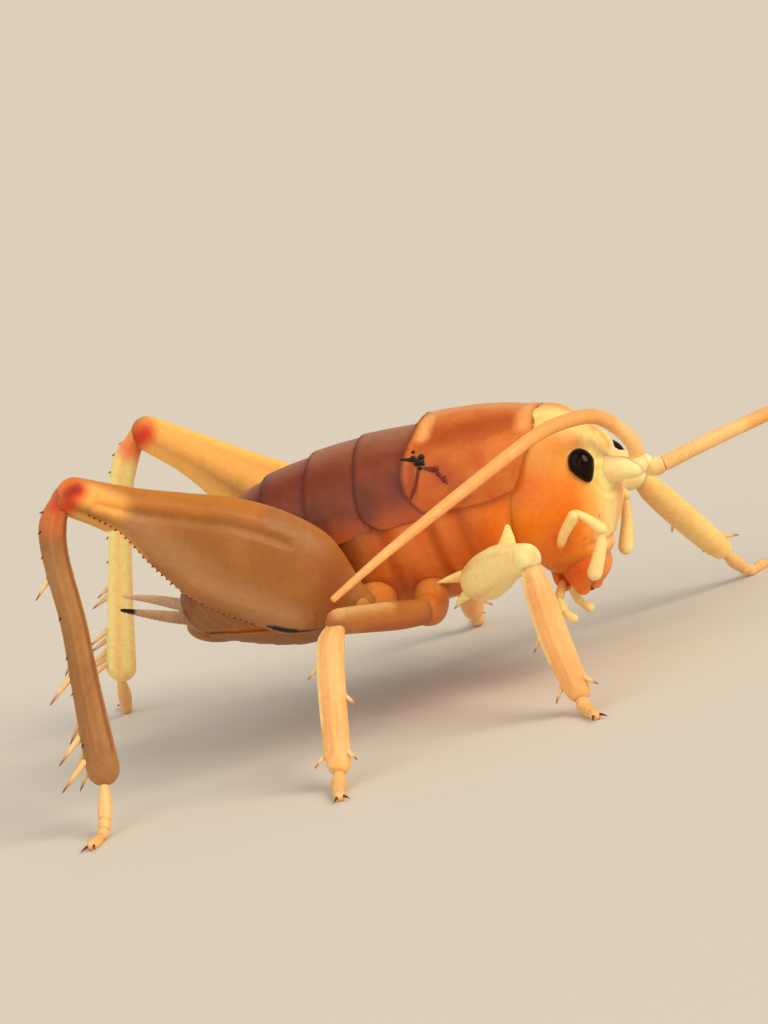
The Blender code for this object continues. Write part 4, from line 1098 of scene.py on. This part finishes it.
# Cerci. The two tail feelers are soft, tapered and finely ringed; the right one has a black tip.
CERCI = {
    "right": (
        (-16.2, -0.6, 6.4), (-16.9, -1.0, 6.8), (-17.9, -2.05, 7.45), (-18.6, -3.1, 8.05),
        (-19.3, -4.4, 8.75),
    ),
    "left": (
        (-16.3, 0.4, 6.5), (-17.0, 0.7, 6.8), (-18.6, 1.35, 7.35), (-20.1, 2.0, 7.75), (-21.7, 2.7, 8.05),
    ),
}
CERCUS_SIZES = ((0.36, 0.36), (0.36, 0.36), (0.31, 0.31), (0.22, 0.22), (0.09, 0.09))
CERCUS_RINGS = 22
cercus_skin = cuticle(
    "soft_cercus_cuticle", "#B89474", "#C8A486", rough=0.5, reach=0.3, marks=(("tip", "#140A06"),),
)
for word, points in CERCI.items():
    piece = loft(f"cercus_{word}_skin", tube_rings(points, CERCUS_SIZES, 66), sides=18)
    places = tube_places(points, CERCUS_SIZES, CERCUS_RINGS, (0, 0, 1))
    for point, along, wide, deep, half_depth, half_width in places:
        loop = []
        for angle in steps(0.0, 2 * math.pi, 13):
            round_up = deep * half_depth * math.cos(angle)
            loop.append(point + round_up + wide * half_width * math.sin(angle))
        press(piece, loop, 0.1, 0.02)
    if word == "right":
        mark(piece, "tip", (points[-1], (-19.05, -3.95, 8.55)), 0.42, 1.5)
    dress(piece, cercus_skin, "abdomen_cuticle", f"cercus_{word}")

# Hips. Each leg hangs from the flank by a pale short cone, the coxa, on a small ball-shaped
# piece, with soft skin between them. The front pair are drawn out above to a flat point.
LEGS = {
    "hind_right": {
        "coxa": ((-6.7, -2.4, 6.6), (-6.9, -4.6, 6.2), (-7.1, -5.7, 6.7)),
        "hip": (-7.1, -5.7, 6.7),
        "knee": (-17.95, -9.55, 15.8),
        "tibia": (
            (-18.45, -9.6, 15.9), (-19.4, -9.65, 14.6), (-19.7, -9.8, 12.9), (-19.6, -10.25, 9.9),
            (-19.7, -10.9, 6.6), (-19.65, -12.0, 2.8),
        ),
        "tarsus": ((-19.7, -12.35, 2.1), (-19.75, -13.2, 0.95), (-19.8, -14.1, 0.26), (-19.9, -15.5, 0.2)),
    },
    "hind_left": {
        "coxa": ((-7.0, 2.4, 6.4), (-7.2, 4.6, 5.6), (-7.4, 5.7, 5.8)),
        "hip": (-7.4, 5.7, 5.8),
        "knee": (-19.9, 8.15, 15.1),
        "tibia": (
            (-20.35, 8.2, 15.25), (-21.5, 8.3, 14.1), (-22.5, 8.6, 12.2), (-23.65, 9.1, 9.1),
            (-24.7, 9.55, 6.1), (-25.8, 10.0, 2.9),
        ),
        "tarsus": ((-26.1, 10.3, 2.2), (-26.5, 11.1, 1.0), (-26.9, 11.9, 0.26), (-27.5, 13.2, 0.2)),
    },
    "mid_right": {
        "coxa": ((-4.1, -2.2, 6.4), (-4.1, -3.7, 5.5), (-4.1, -4.6, 5.4)),
        "hip": (-4.1, -4.6, 5.4),
        "knee": (-6.9, -10.0, 6.95),
        "tibia": ((-7.0, -10.2, 6.8), (-7.3, -11.1, 5.8), (-7.5, -12.4, 3.4), (-7.6, -13.6, 1.1)),
        "tarsus": ((-7.6, -13.85, 0.8), (-7.6, -14.5, 0.32), (-7.45, -15.3, 0.2), (-7.15, -16.1, 0.2)),
    },
    "mid_left": {
        "coxa": ((-4.1, 2.2, 6.4), (-4.1, 3.7, 5.5), (-4.1, 4.6, 5.6)),
        "hip": (-4.1, 4.6, 5.6),
        "knee": (-5.7, 10.4, 7.4),
        "tibia": ((-5.75, 10.6, 7.25), (-6.25, 11.6, 6.0), (-6.7, 12.6, 3.4), (-7.1, 13.5, 1.1)),
        "tarsus": ((-7.15, 13.75, 0.8), (-7.3, 14.4, 0.32), (-7.45, 15.2, 0.2), (-7.6, 15.9, 0.2)),
    },
    "front_right": {
        "coxa": ((0.78, -4.15, 8.5), (0.58, -4.2, 7.75), (0.1, -4.1, 7.0), (-0.6, -4.0, 6.5)),
        "hip": (-1.3, -4.3, 6.2),
        "knee": (2.3, -7.8, 7.5),
        "tibia": ((2.4, -7.95, 7.3), (2.6, -8.45, 5.6), (2.85, -8.8, 3.4), (3.3, -9.1, 1.1)),
        "tarsus": ((3.35, -9.25, 0.8), (3.55, -9.65, 0.32), (3.9, -10.3, 0.2), (4.3, -11.0, 0.2)),
    },
    "front_left": {
        "coxa": ((0.9, 4.1, 8.6), (0.5, 4.1, 8.0), (0.0, 3.9, 7.4), (-0.5, 4.0, 7.1)),
        "hip": (-0.7, 4.3, 6.9),
        "knee": (4.9, 6.5, 7.6),
        "tibia": ((5.05, 6.6, 7.5), (5.75, 7.4, 6.0), (6.6, 8.7, 4.1), (7.4, 10.1, 2.2)),
        "tarsus": ((7.5, 10.35, 1.9), (7.85, 11.3, 0.9), (8.2, 12.2, 0.26), (8.7, 13.5, 0.2)),
    },
}
COXAE = {
    "hind": ((0.95, 0.95), (1.0, 0.95), (0.85, 0.85)),
    "mid": ((0.85, 0.85), (0.9, 0.85), (0.75, 0.75)),
    "front": ((0.14, 0.1), (0.42, 0.25), (0.62, 0.4), (0.8, 0.6)),
}
coxa_skin = cuticle(
    "pale_coxa_cuticle", "#F2AE58", "#F6C06E", rough=0.4, reach=0.5,
    marks=(("amber", "#C8722C"), ("cream", "#FDE296"), ("joint", "#C87030")),
)
for name, joints in LEGS.items():
    kind, word = name.split("_")
    piece = loft(f"{name}_coxa_skin", tube_rings(joints["coxa"], COXAE[kind], 28), sides=32)
    if kind == "front":
        mark(piece, "cream", (joints["coxa"][0], joints["coxa"][2]), 1.5, 1.3)
    else:
        mark(piece, "amber", joints["coxa"], 2.2, 1.3)
    mark(piece, "joint", [joints["coxa"][-1]], 0.7, 0.35)
    dress(piece, coxa_skin, "leg_cuticle", f"{name}_coxa")
for side in (-1, 1):
    points = ((-2.75, 3.95 * side, 5.3), (-2.0, 3.85 * side, 5.75), (-1.4, 3.7 * side, 6.2))
    sizes = ((0.1, 0.1), (0.26, 0.2), (0.36, 0.26), (0.2, 0.2))
    piece = loft(f"hip_shield_{'left' if side > 0 else 'right'}", tube_rings(points, sizes, 14), sides=20)
    mark(piece, "cream", points[:2], 1.1, 1.2)
    dress(piece, coxa_skin, "leg_cuticle")

# Side spines. A short pale spine on the flank behind each front leg, that points back. Its
# places are distances forward, heights and distances out from the flank.
SPINE = ((-2.0, 6.4, 0.1), (-2.75, 6.44, 0.3), (-3.57, 6.44, 0.45))
SPINE_SIZES = ((0.36, 0.3), (0.24, 0.2), (0.04, 0.04))
for side, word in ((1, "left"), (-1, "right")):
    points = [flank(x, z, side) + Vector((0.0, out * side, 0.0)) for x, z, out in SPINE]
    spine = loft(f"side_spine_{word}", tube_rings(points, SPINE_SIZES, 16), sides=20)
    mark(spine, "cream", (points[0], points[-1]), 1.5, 0.7)
    dress(spine, coxa_skin, "leg_cuticle", f"front_{word}_coxa")

# Thighs. The hind pair are the great jumping legs, deep and flat-sided with a shallow groove
# along the upper third of the outer face, keeled below for the shin to fold into, and red
# round the knee; the other four are stout and pale.
# Seven even places from hip to knee, each with how far it reaches up, down and sideways.
THIGHS = {
    "hind_right": (
        (0.95, 0.95, 0.75), (2.6, 2.5, 1.4), (2.95, 2.7, 1.5), (2.7, 2.65, 1.3), (2.0, 1.95, 0.95),
        (1.3, 0.95, 0.7), (0.82, 0.85, 0.65),
    ),
    "hind_left": (
        (0.95, 0.95, 0.75), (2.4, 2.5, 1.4), (2.5, 2.75, 1.5), (2.05, 2.65, 1.3), (1.65, 1.85, 0.95),
        (1.35, 1.15, 0.72), (1.0, 0.95, 0.67),
    ),
    "mid": (
        (0.6, 0.6, 0.6), (0.66, 0.68, 0.72), (0.68, 0.72, 0.74), (0.7, 0.7, 0.7), (0.7, 0.66, 0.6),
        (0.7, 0.62, 0.55), (0.68, 0.6, 0.52),
    ),
    "front": (
        (1.05, 0.95, 0.9), (1.22, 1.08, 1.1), (1.28, 1.0, 1.12), (1.28, 0.82, 1.0), (1.15, 0.66, 0.85),
        (0.98, 0.66, 0.7), (0.78, 0.72, 0.65),
    ),
}
THIGH_SIDES = {"hind": 48, "mid": 32, "front": 32}
THIGH_LEVELS = {"hind": 2, "mid": 1, "front": 1}


def thigh_axes(joints):
    """The directions along, across and up from the line from hip to knee."""
    along = (Vector(joints["knee"]) - Vector(joints["hip"])).normalized()
    wide = along.cross(Vector((0, 0, 1))).normalized()
    return along, wide, wide.cross(along)


def on_thigh(joints, rows, share, turn, lift=0.0):
    """A point on a thigh at a share of its length, turned outwards from its upper edge."""
    along, wide, deep = thigh_axes(joints)
    if wide.y * joints["hip"][1] < 0:
        wide = -wide
    above, below, half = read([(float(i), *row) for i, row in enumerate(rows)], share * (len(rows) - 1))
    height = (above if math.cos(turn) > 0 else below) + lift
    point = Vector(joints["hip"]).lerp(Vector(joints["knee"]), share)
    return point + deep * height * math.cos(turn) + wide * (half + lift) * math.sin(turn)


def thigh_line(joints, rows, *pairs):
    """Points on a thigh's skin at pairs of share and turn, filled in between them."""
    line = []
    for (share, turn), (next_share, next_turn) in zip(pairs, pairs[1:]):
        for u in steps(0.0, 1.0, 7):
            round_by = turn + (next_turn - turn) * u
            line.append(on_thigh(joints, rows, share + (next_share - share) * u, round_by))
    return line


def thigh_rings(joints, rows, count):
    along, wide, deep = thigh_axes(joints)
    table = [(float(i), *row) for i, row in enumerate(rows)]
    last = len(rows) - 1
    places = [(u, 0.0, 1.0) for u in steps(0.0, float(last), count)]
    for angle in DOME_ANGLES:
        out = math.sin(math.radians(angle))
        shrink = math.cos(math.radians(angle))
        places.insert(0, (0.0, -out, shrink))
        places.append((float(last), out, shrink))
    rings = []
    for u, out, shrink in places:
        above, below, half = read(table, u)
        middle = Vector(joints["hip"]).lerp(Vector(joints["knee"]), u / last)
        middle = middle + along * out * (above + below) / 2 + deep * (above - below) / 2 * shrink
        half_height = (above + below) / 2
        rings.append((spot(*middle), deep * half_height * shrink * MM, wide * half * shrink * MM))
    return rings


# The forms of the hind thighs, by shares of the length and turns round it from the upper edge.
HIND_FACES = (
    ("relief", ((0.92, 1.5), (0.8, 1.35), (0.66, 1.15), (0.5, 1.0), (0.3, 0.95)), 0.4, 0.12),
    ("relief", ((0.9, 1.15), (0.66, 0.8), (0.4, 0.7)), 0.45, -0.05),
    ("relief", ((0.85, 2.2), (0.5, 2.1), (0.2, 2.0)), 0.8, 0.06),
    ("relief", ((1.0, 3.14), (0.6, 3.14)), 0.4, 0.14),
    ("relief", ((1.0, 2.85), (0.3, 2.95)), 0.22, -0.06),
)
INNER_KEEL = ("relief", ((1.03, -2.9), (0.92, -3.0), (0.86, -3.0)), 0.6, -0.45)
HIND_KNEES = (
    ("relief", ((0.96, 1.9), (1.02, 1.7)), 0.4, -0.08),
    ("relief", ((0.93, 1.2), (0.94, 2.4)), 0.2, 0.05),
    ("low", ((0.8, 1.9), (0.45, 2.2), (0.2, 2.3)), 1.5, 0.8),
    ("top", ((0.95, 0.2), (0.45, 0.35)), 1.25, 0.9),
    ("top", ((0.8, 0.9), (0.6, 0.8)), 0.8, 0.7),
    ("hip", ((0.12, 1.0), (0.05, 2.4)), 1.7, 0.8),
    ("yellow_and_painted_glow", ((0.97, 1.3), (0.86, 1.4)), 1.1, 0.95),
    ("yellow_and_painted_glow", ((0.98, -2.8), (0.75, -2.85)), 0.7, 1.0),
    ("yellow_and_painted_glow", ((1.02, 3.14), (0.72, 3.14)), 0.7, 1.0),
    ("keel", ((0.96, 2.95), (0.45, 3.05)), 0.35, 0.4),
    ("line", ((0.92, 1.5), (0.8, 1.35), (0.7, 1.2)), 0.16, 0.7),
)
HIND_FORMS = {
    "right": (
        *HIND_FACES,
        INNER_KEEL,
        *HIND_KNEES,
        # The black lens-shaped spot low on the hip end, with its red tail, and a fine seam.
        ("red", ((0.14, 2.7), (0.06, 2.78)), 0.24, 1.0),
        ("lens", ((0.225, 2.72), (0.165, 2.7)), 0.36, 1.8),
        ("lens", ((0.25, 2.74), (0.12, 2.72)), 0.17, 1.5),
        ("line", ((0.125, 2.0), (0.105, 2.5)), 0.08, 0.8),
        ("streak", ((0.905, 0.5), (0.905, 0.5)), 0.1, 1.5),
    ),
    "left": (
        *HIND_FACES,
        *HIND_KNEES,
        # Along the whole far left thigh the yellow is painted glow of light shining through it.
        *(("yellow_and_painted_glow", ((0.1, turn), (0.97, turn)), 1.7, 1.0) for turn in (0.0, -1.0, -2.2, 1.5)),
    ),
}
BLUSH = {"right": (1.15, 1.0), "left": (1.0, 0.8)}
KNEE_REDS = {
    "right": (
        ("knee", ((-18.4, -9.9, 15.3), (-17.45, -10.1, 16.1)), 0.8, 1.0),
        ("streak", ((-18.0, -10.15, 15.95), (-17.4, -10.1, 16.2)), 0.45, 0.8),
    ),
    "left": (("knee", ((-19.75, 7.5, 15.3), (-20.5, 7.6, 15.0)), 1.05, 1.0),),
}
SMALL_FORMS = (
    ("relief", ((0.94, 0.8), (0.94, 2.4)), 0.22, 0.05),
    ("relief", ((0.3, 1.3), (0.9, 1.3)), 0.5, 0.04),
)
SMALL_TINTS = {
    "front": (
        *(("cream", ((0.05, turn), (1.03, turn)), 1.6, 1.3) for turn in (0.0, 1.5, 3.0, -1.5)),
        # The shine tint is a painted highlight on the upper face of the front thighs.
        ("shine", ((0.3, 0.6), (0.55, 0.8)), 0.9, 0.6),
    ),
    "mid": (
        ("rust", ((0.05, 2.4), (0.7, 2.4)), 0.9, 0.7),
        ("cream", ((0.5, 0.2), (1.0, 0.3)), 0.85, 0.45),
    ),
}
thigh_skin = cuticle(
    "amber_thigh_cuticle", "#A2682F", "#AE723A", rough=0.42, reach=1.0, shine=0.25,
    marks=(
        ("low", "#BE8E62"), ("top", "#B87420"), ("hip", "#9A5220"), ("yellow_and_painted_glow", "#FABE64"),
        ("keel", "#D88A44"), ("line", "#8A4418"), ("red", "#7A2408"), ("blush", "#EC7C3A"),
        ("knee", "#D4380A"), ("streak", "#861604"), ("lens", "#0A0403"),
    ),
)
small_thigh_skin = cuticle(
    "pale_thigh_cuticle", "#AA6830", "#B8783C", rough=0.4, reach=0.9,
    marks=(("rust", "#AC5A24"), ("cream", "#FEE2A0"), ("shine", "#FDEB9E")),
)
for name, joints in LEGS.items():
    kind, word = name.split("_")
    rows = THIGHS.get(name) or THIGHS[kind]
    piece = loft(f"{name}_thigh", thigh_rings(joints, rows, 44), THIGH_SIDES[kind], THIGH_LEVELS[kind])
    line = partial(thigh_line, joints, rows)
    if kind == "hind":
        add_forms(piece, line, HIND_FORMS[word])
        knee = Vector(joints["knee"])
        along = thigh_axes(joints)[0]
        mark(piece, "blush", [knee + along * 0.1, knee + along * 0.7], *BLUSH[word])
        for tint, points, width, strength in KNEE_REDS[word]:
            mark(piece, tint, points, width, strength)
        dress(piece, thigh_skin, "thigh_cuticle", f"{name}_femur")
    else:
        add_forms(piece, line, (*SMALL_FORMS, *SMALL_TINTS[kind]))
        dress(piece, small_thigh_skin, "leg_cuticle", f"{name}_femur")

# Teeth of the hind thighs: a comb of small dark red points along the outer lower keel.
TEETH = 33
TEETH_SPAN = (0.3, 0.93)
TEETH_TURN = 2.93
TEETH_RISE = 1.6
TOOTH_HEIGHT = 0.13


def thorn(name, tall, half_base, bend, sides=10, levels=1):
    """A curved thorn on the origin that points up Z and bends toward X, with a tip attribute."""
    count = 9
    rings = []
    for u in steps(0.0, 1.0, count):
        half = half_base * ((1 - u) ** 0.75 * 0.96 + 0.04)
        along = Vector((2 * bend * u, 0.0, 1.0)).normalized()
        wide = Vector((0.0, 1.0, 0.0))
        deep = wide.cross(along)
        rings.append((Vector((bend * tall * u * u, 0.0, tall * u)) * MM, deep * half * MM, wide * half * MM))
    piece = loft(name, rings, sides, levels)
    layer = piece.data.attributes.new("tip", "FLOAT", "POINT")
    for vert in piece.data.vertices:
        layer.data[vert.index].value = min(max(vert.co.z / (tall * MM), 0.0), 1.0)
    return piece


def plant(model, name, root, way, toward, size=1.0, stout=1.0):
    """A copy of the model that stands at root, points the given way and bends toward another."""
    way = way.normalized()
    side = way.cross(toward).normalized()
    facing = Matrix((side.cross(way), side, way)).transposed().to_4x4()
    piece = bpy.data.objects.new(name, model.data.copy())
    bpy.context.scene.collection.objects.link(piece)
    scale = Matrix.Diagonal((stout, stout, size, 1.0))
    piece.data.transform(Matrix.Translation(spot(*root)) @ facing @ scale)
    return piece


tooth_skin = cuticle("dark_tooth_cuticle", "#5A140A", "#6E1E10", rough=0.28, glow=0.2, reach=0.2)
tooth_model = thorn("tooth_model", TOOTH_HEIGHT, 0.075, 0.2, sides=8)
for name, joints in LEGS.items():
    kind, word = name.split("_")
    if kind != "hind":
        continue
    along, wide, deep = thigh_axes(joints)
    row = []
    for i, share in enumerate(steps(*TEETH_SPAN, TEETH)):
        turn = TEETH_TURN - TEETH_RISE * max(share - 0.6, 0.0)
        root = on_thigh(joints, THIGHS[name], share, turn)
        tall = 0.75 + 0.2 * (i % 2) + 0.2 * (i % 3 == 0)
        row.append(plant(tooth_model, "tooth", root, -deep + along * 0.25, along, tall))
    dress(join(f"{name}_teeth", row), tooth_skin, "thigh_cuticle")
bpy.data.objects.remove(tooth_model)

# Shins. Slender, a little curved and ridged lengthwise along the rear, where two rows of long
# movable spurs stand, each in a small socket; those at the foot end are the longest.
SHINS = {
    "hind": ((0.6, 0.5), (0.68, 0.52), (0.64, 0.54), (0.63, 0.55), (0.7, 0.6), (0.84, 0.66)),
    "mid": ((0.6, 0.5), (0.66, 0.55), (0.66, 0.55), (0.6, 0.52)),
    "front": ((0.56, 0.5), (0.7, 0.58), (0.73, 0.62), (0.62, 0.56)),
}
SHIN_UP = (-1.0, 0.0, 0.01)
KNEE_HEAD = (0.36, 0.32)
HEAD_SWELL = 0.78
HEAD_STEPS = 4
SPURS = {
    "hind": (
        (0.46, 25, 1.2), (0.72, -25, 0.85), (0.765, 25, 1.7), (0.87, -25, 1.5), (0.91, 25, 1.8),
        (0.945, -25, 1.6), (0.97, 32, 1.95), (0.985, -32, 1.6),
    ),
    "mid": ((0.42, 0, 0.75), (0.6, 180, 0.7), (0.94, 20, 0.8), (0.94, 160, 0.7)),
    "front": ((0.6, 0, 0.7), (0.94, 20, 0.85), (0.94, 160, 0.8)),
}
SPUR_DROOP = math.radians(40)
SPUR_TINT = (0.55, 0.35)
SPINULES = (0.14, 0.19, 0.24, 0.28, 0.37, 0.42, 0.46, 0.54, 0.58, 0.62, 0.7, 0.73, 0.8, 0.87, 0.93)

# The palest shin tint is a painted highlight, laid in stripes where light catches the shins.
SHIN_MARKS = (("painted_highlight", "#FFE8A0"), ("blush", "#E8743A"), ("knee", "#D4380A"), ("line", "#7A3A16"))
# The straw tone of the far left shins is lighter than the others: painted glow of light shining through
# them.
SHIN_TONES = {
    "tan_shin_cuticle": ("#A2703E", "#AE7E4A"),
    "straw_painted_glow_shin_cuticle": ("#FFCC80", "#FFD88E"),
    "amber_shin_cuticle": ("#ECB270", "#F2BE7C"),
}
shin_skins = {
    name: cuticle(name, *tones, rough=0.4, reach=0.6, marks=SHIN_MARKS) for name, tones in SHIN_TONES.items()
}
SHIN_TONE_OF = {
    "hind_right": "tan_shin_cuticle", "hind_left": "straw_painted_glow_shin_cuticle", "front_left": "straw_painted_glow_shin_cuticle",
}
spur_skin = cuticle(
    "cream_spur_cuticle", "#E8BE84", "#F0CC96", rough=0.32, glow=0.7, reach=0.2, relief=0.2,
    marks=(("tip", "#7A2814"),),
)
spur_model = thorn("spur_model", 1.0, 0.16, 0.08, sides=12)
for value in spur_model.data.attributes["tip"].data:
    value.value = min(max((value.value - SPUR_TINT[0]) / SPUR_TINT[1], 0.0), 1.0)
spinule_model = thorn("spinule_model", 0.24, 0.06, 0.2, sides=6, levels=0)


def on_shin(places, outward, share, turn):
    """A point on a shin turned from its rear toward its outer side, and the way out there."""
    point, along, wide, deep, half_depth, half_width = places[round(share * (len(places) - 1))]
    out = deep * half_depth * math.cos(turn) + wide * outward * half_width * math.sin(turn)
    return point + out, out.normalized(), along


def shin_line(places, outward, start, end, turn, count=30):
    return [on_shin(places, outward, share, turn)[0] for share in steps(start, end, count)]


for name, joints in LEGS.items():
    kind, word = name.split("_")
    outward = 1 if word == "left" else -1
    path = smooth_path(joints["tibia"], 20)
    knee = Vector(joints["knee"])
    head_in = knee.lerp(path[0], 0.2)
    size_rows = [(float(i), *size) for i, size in enumerate(SHINS[kind])]
    sizes = [KNEE_HEAD]
    for i, u in enumerate(steps(0.0, len(SHINS[kind]) - 1.0, 20)):
        swell = min(1.0, HEAD_SWELL + (1.0 - HEAD_SWELL) * i / HEAD_STEPS)
        sizes.append([size * swell for size in read(size_rows, u)])
    piece = loft(f"{name}_shin", tube_rings([head_in, *path], sizes, 60, SHIN_UP), sides=32)
    places = tube_places(joints["tibia"], SHINS[kind], 101, SHIN_UP)
    line = partial(shin_line, places, outward)
    for turn in (-0.6, 0.6, 1.7):
        press(piece, line(0.08, 0.96, turn), 0.2, -0.06)
    press(piece, line(0.08, 0.96, 0.0), 0.24, 0.05)
    if kind == "hind":
        mark(piece, "line", line(0.1, 0.96, 2.8), 0.16, 0.6)
    if name == "hind_right":
        mark(piece, "blush", [knee, places[14][0], places[20][0]], 1.1, 1.0)
        mark(piece, "knee", line(0.0, 0.07, 1.5, 6), 0.55, 0.9)
    elif name == "hind_left":
        mark(piece, "blush", [knee, places[12][0]], 1.2, 1.2)
        mark(piece, "knee", [knee], 0.8, 0.5)
        # The two pale stripes on the far hind shin are painted highlights of light shining through it.
        for turn in (-1.0, -2.2):
            mark(piece, "painted_highlight", line(0.16, 0.98, turn), 0.45, 1.0)
    else:
        # A pale stripe near the front edge of the other shins is a painted highlight.
        mark(piece, "painted_highlight", line(0.06, 0.75, 0.5, 24), 0.34, 0.85)
    skin = shin_skins[SHIN_TONE_OF.get(name, "amber_shin_cuticle")]
    dress(piece, skin, "leg_cuticle", f"{name}_tibia")
    grown = []
    for share, turn, length in SPURS[kind]:
        point, out, along = on_shin(places, outward, share, math.radians(turn))
        way = out * math.cos(SPUR_DROOP) + along * math.sin(SPUR_DROOP)
        stout = 0.75 + 0.25 * length
        grown.append(plant(spur_model, "spur", point - way * 0.12, way, along, length + 0.12, stout))
        press(piece, [point], 0.3, -0.07)
    dress(join(f"{name}_spurs", grown), spur_skin, "leg_cuticle")
    if kind == "hind":
        grown = []
        for i, share in enumerate(SPINULES):
            turn = (32, -32)[i % 2] + 6 * (i % 3)
            point, out, along = on_shin(places, outward, share, math.radians(turn))
            grown.append(plant(spinule_model, "spinule", point - out * 0.02, out + along * 0.7, along))
        dress(join(f"{name}_spinules", grown), tooth_skin, "leg_cuticle")
bpy.data.objects.remove(spur_model)
bpy.data.objects.remove(spinule_model)

# Feet. Four small pieces in a row, each swollen below into a pad and the last one longer,
# with two curved claws; they rest on the ground with their pads.
FOOT_PIECES = ((0.0, 0.36, 0.34), (0.34, 0.54, 0.3), (0.52, 0.7, 0.28), (0.67, 1.0, 0.25))
CLAW_REACH = 0.6
CLAW_SPREAD = 0.26
TOE_SIZES = ((0.7, 0.65), (0.95, 0.9), (1.1, 1.1), (1.0, 1.05))
foot_skin = cuticle(
    "straw_foot_cuticle", "#E8B070", "#F0C080", rough=0.42, glow=0.4, reach=0.2,
    marks=(("joint", "#C8803C"),),
)
claw_model = thorn("claw_model", 0.68, 0.1, 0.3, sides=8)
for name, joints in LEGS.items():
    path = smooth_path(joints["tarsus"], 61)
    toes = []
    for start, end, half in FOOT_PIECES:
        points = [path[round(60 * (start + (end - start) * u))] for u in (0.0, 0.33, 0.67, 1.0)]
        sizes = [(half * deep, half * wide) for deep, wide in TOE_SIZES]
        toes.append(loft("toe", tube_rings(points, sizes, 14), sides=20))
    foot = join(f"{name}_foot", toes)
    for share in (0.35, 0.53, 0.69):
        mark(foot, "joint", [path[round(60 * share)]], 0.3, 0.6)
    along = (path[-1] - path[-2]).normalized()
    side = along.cross(Vector((0, 0, 1)))
    claws = []
    for way in (1, -1):
        root = path[-1] + side * 0.1 * way
        reach = along * CLAW_REACH + side * CLAW_SPREAD * way + Vector((0, 0, 0.12))
        claws.append(plant(claw_model, "claw", root, reach, Vector((0, 0, -1))))
    claws = join(f"{name}_claws", claws)
    for piece in (foot, claws):
        points = points_of(piece)
        points[:, 2] = np.maximum(points[:, 2], 0.0)
        place_points(piece, points)
    dress(foot, foot_skin, "leg_cuticle", f"{name}_tarsus")
    dress(claws, tooth_skin, "leg_cuticle")
bpy.data.objects.remove(claw_model)

# Floor, light and camera. The ground of the photo is left out: the animal stands on a plain
# pale floor in soft studio light, seen from the photo's side by a camera that leans with it.
FLOOR_SIZE = 12.0
bpy.ops.object.select_all(action="DESELECT")
bpy.ops.mesh.primitive_plane_add(size=FLOOR_SIZE)
floor = bpy.context.object
floor.name = "floor"
paper = bpy.data.materials.new("matt_paper_floor")
paper.use_nodes = True
paper.node_tree.nodes["Principled BSDF"].inputs["Base Color"].default_value = linear("#D6D0C6")
paper.node_tree.nodes["Principled BSDF"].inputs["Roughness"].default_value = 0.85
floor.data.materials.append(paper)

scene = bpy.context.scene
scene.view_settings.view_transform = "Standard"
world = bpy.data.worlds.new("studio")
scene.world = world
world.use_nodes = True
world.node_tree.nodes["Background"].inputs["Color"].default_value = linear("#F4F0EA")
world.node_tree.nodes["Background"].inputs["Strength"].default_value = 0.5

# Each lamp's kind, the way to it, its breadth (degrees or mm), its strength and its tint.
LAMPS = (
    ("key", "SUN", (0.9, -0.36, 0.68), 34.0, 2.35, "#FFF0D8"),
    ("fill", "SUN", (-0.5, -1.0, 0.7), 80.0, 1.2, "#FFF4E4"),
)
for name, kind, way, breadth, strength, tone in LAMPS:
    lamp = bpy.data.lights.new(name, kind)
    lamp.angle = math.radians(breadth)
    lamp.energy = strength
    lamp.color = linear(tone)[:3]
    holder = bpy.data.objects.new(name, lamp)
    scene.collection.objects.link(holder)
    holder.location = spot(*(Vector(way) * 300))
    holder.rotation_euler = Vector(way).to_track_quat("Z", "Y").to_euler()

CAMERA_TURN = math.radians(17.0)
CAMERA_RISE = math.radians(10.0)
CAMERA_ROLL = math.radians(16.0)
CAMERA_DISTANCE = 200.0
MM_PER_PIXEL = 0.0488
IMAGE_SIZE = (768, 1024)
AIM_PIXEL = (480.0, 403.0)
AIM_HEIGHT = 14.0
SENSOR = 36.0
back = Vector((
    math.sin(CAMERA_TURN) * math.cos(CAMERA_RISE),
    -math.cos(CAMERA_TURN) * math.cos(CAMERA_RISE),
    math.sin(CAMERA_RISE),
))
right = Vector((math.cos(CAMERA_TURN), math.sin(CAMERA_TURN), 0.0))
up = back.cross(right)
right_turned = right * math.cos(CAMERA_ROLL) - up * math.sin(CAMERA_ROLL)
up_turned = right * math.sin(CAMERA_ROLL) + up * math.cos(CAMERA_ROLL)
aside = (AIM_PIXEL[0] - IMAGE_SIZE[0] / 2) * MM_PER_PIXEL
below = (IMAGE_SIZE[1] / 2 - AIM_PIXEL[1]) * MM_PER_PIXEL
place = Vector((0.0, 0.0, AIM_HEIGHT)) + back * CAMERA_DISTANCE - right_turned * aside - up_turned * below
camera_data = bpy.data.cameras.new("photo_view")
camera_data.sensor_width = SENSOR
camera_data.sensor_height = SENSOR
camera_data.sensor_fit = "VERTICAL"
camera_data.lens = SENSOR * CAMERA_DISTANCE / (IMAGE_SIZE[1] * MM_PER_PIXEL)
camera_data.clip_start = 0.01
camera_data.clip_end = 10.0
camera = bpy.data.objects.new("photo_view", camera_data)
scene.collection.objects.link(camera)
facing = Matrix((right_turned, up_turned, back)).transposed().to_4x4()
camera.matrix_world = Matrix.Translation(spot(*place)) @ facing
scene.camera = camera
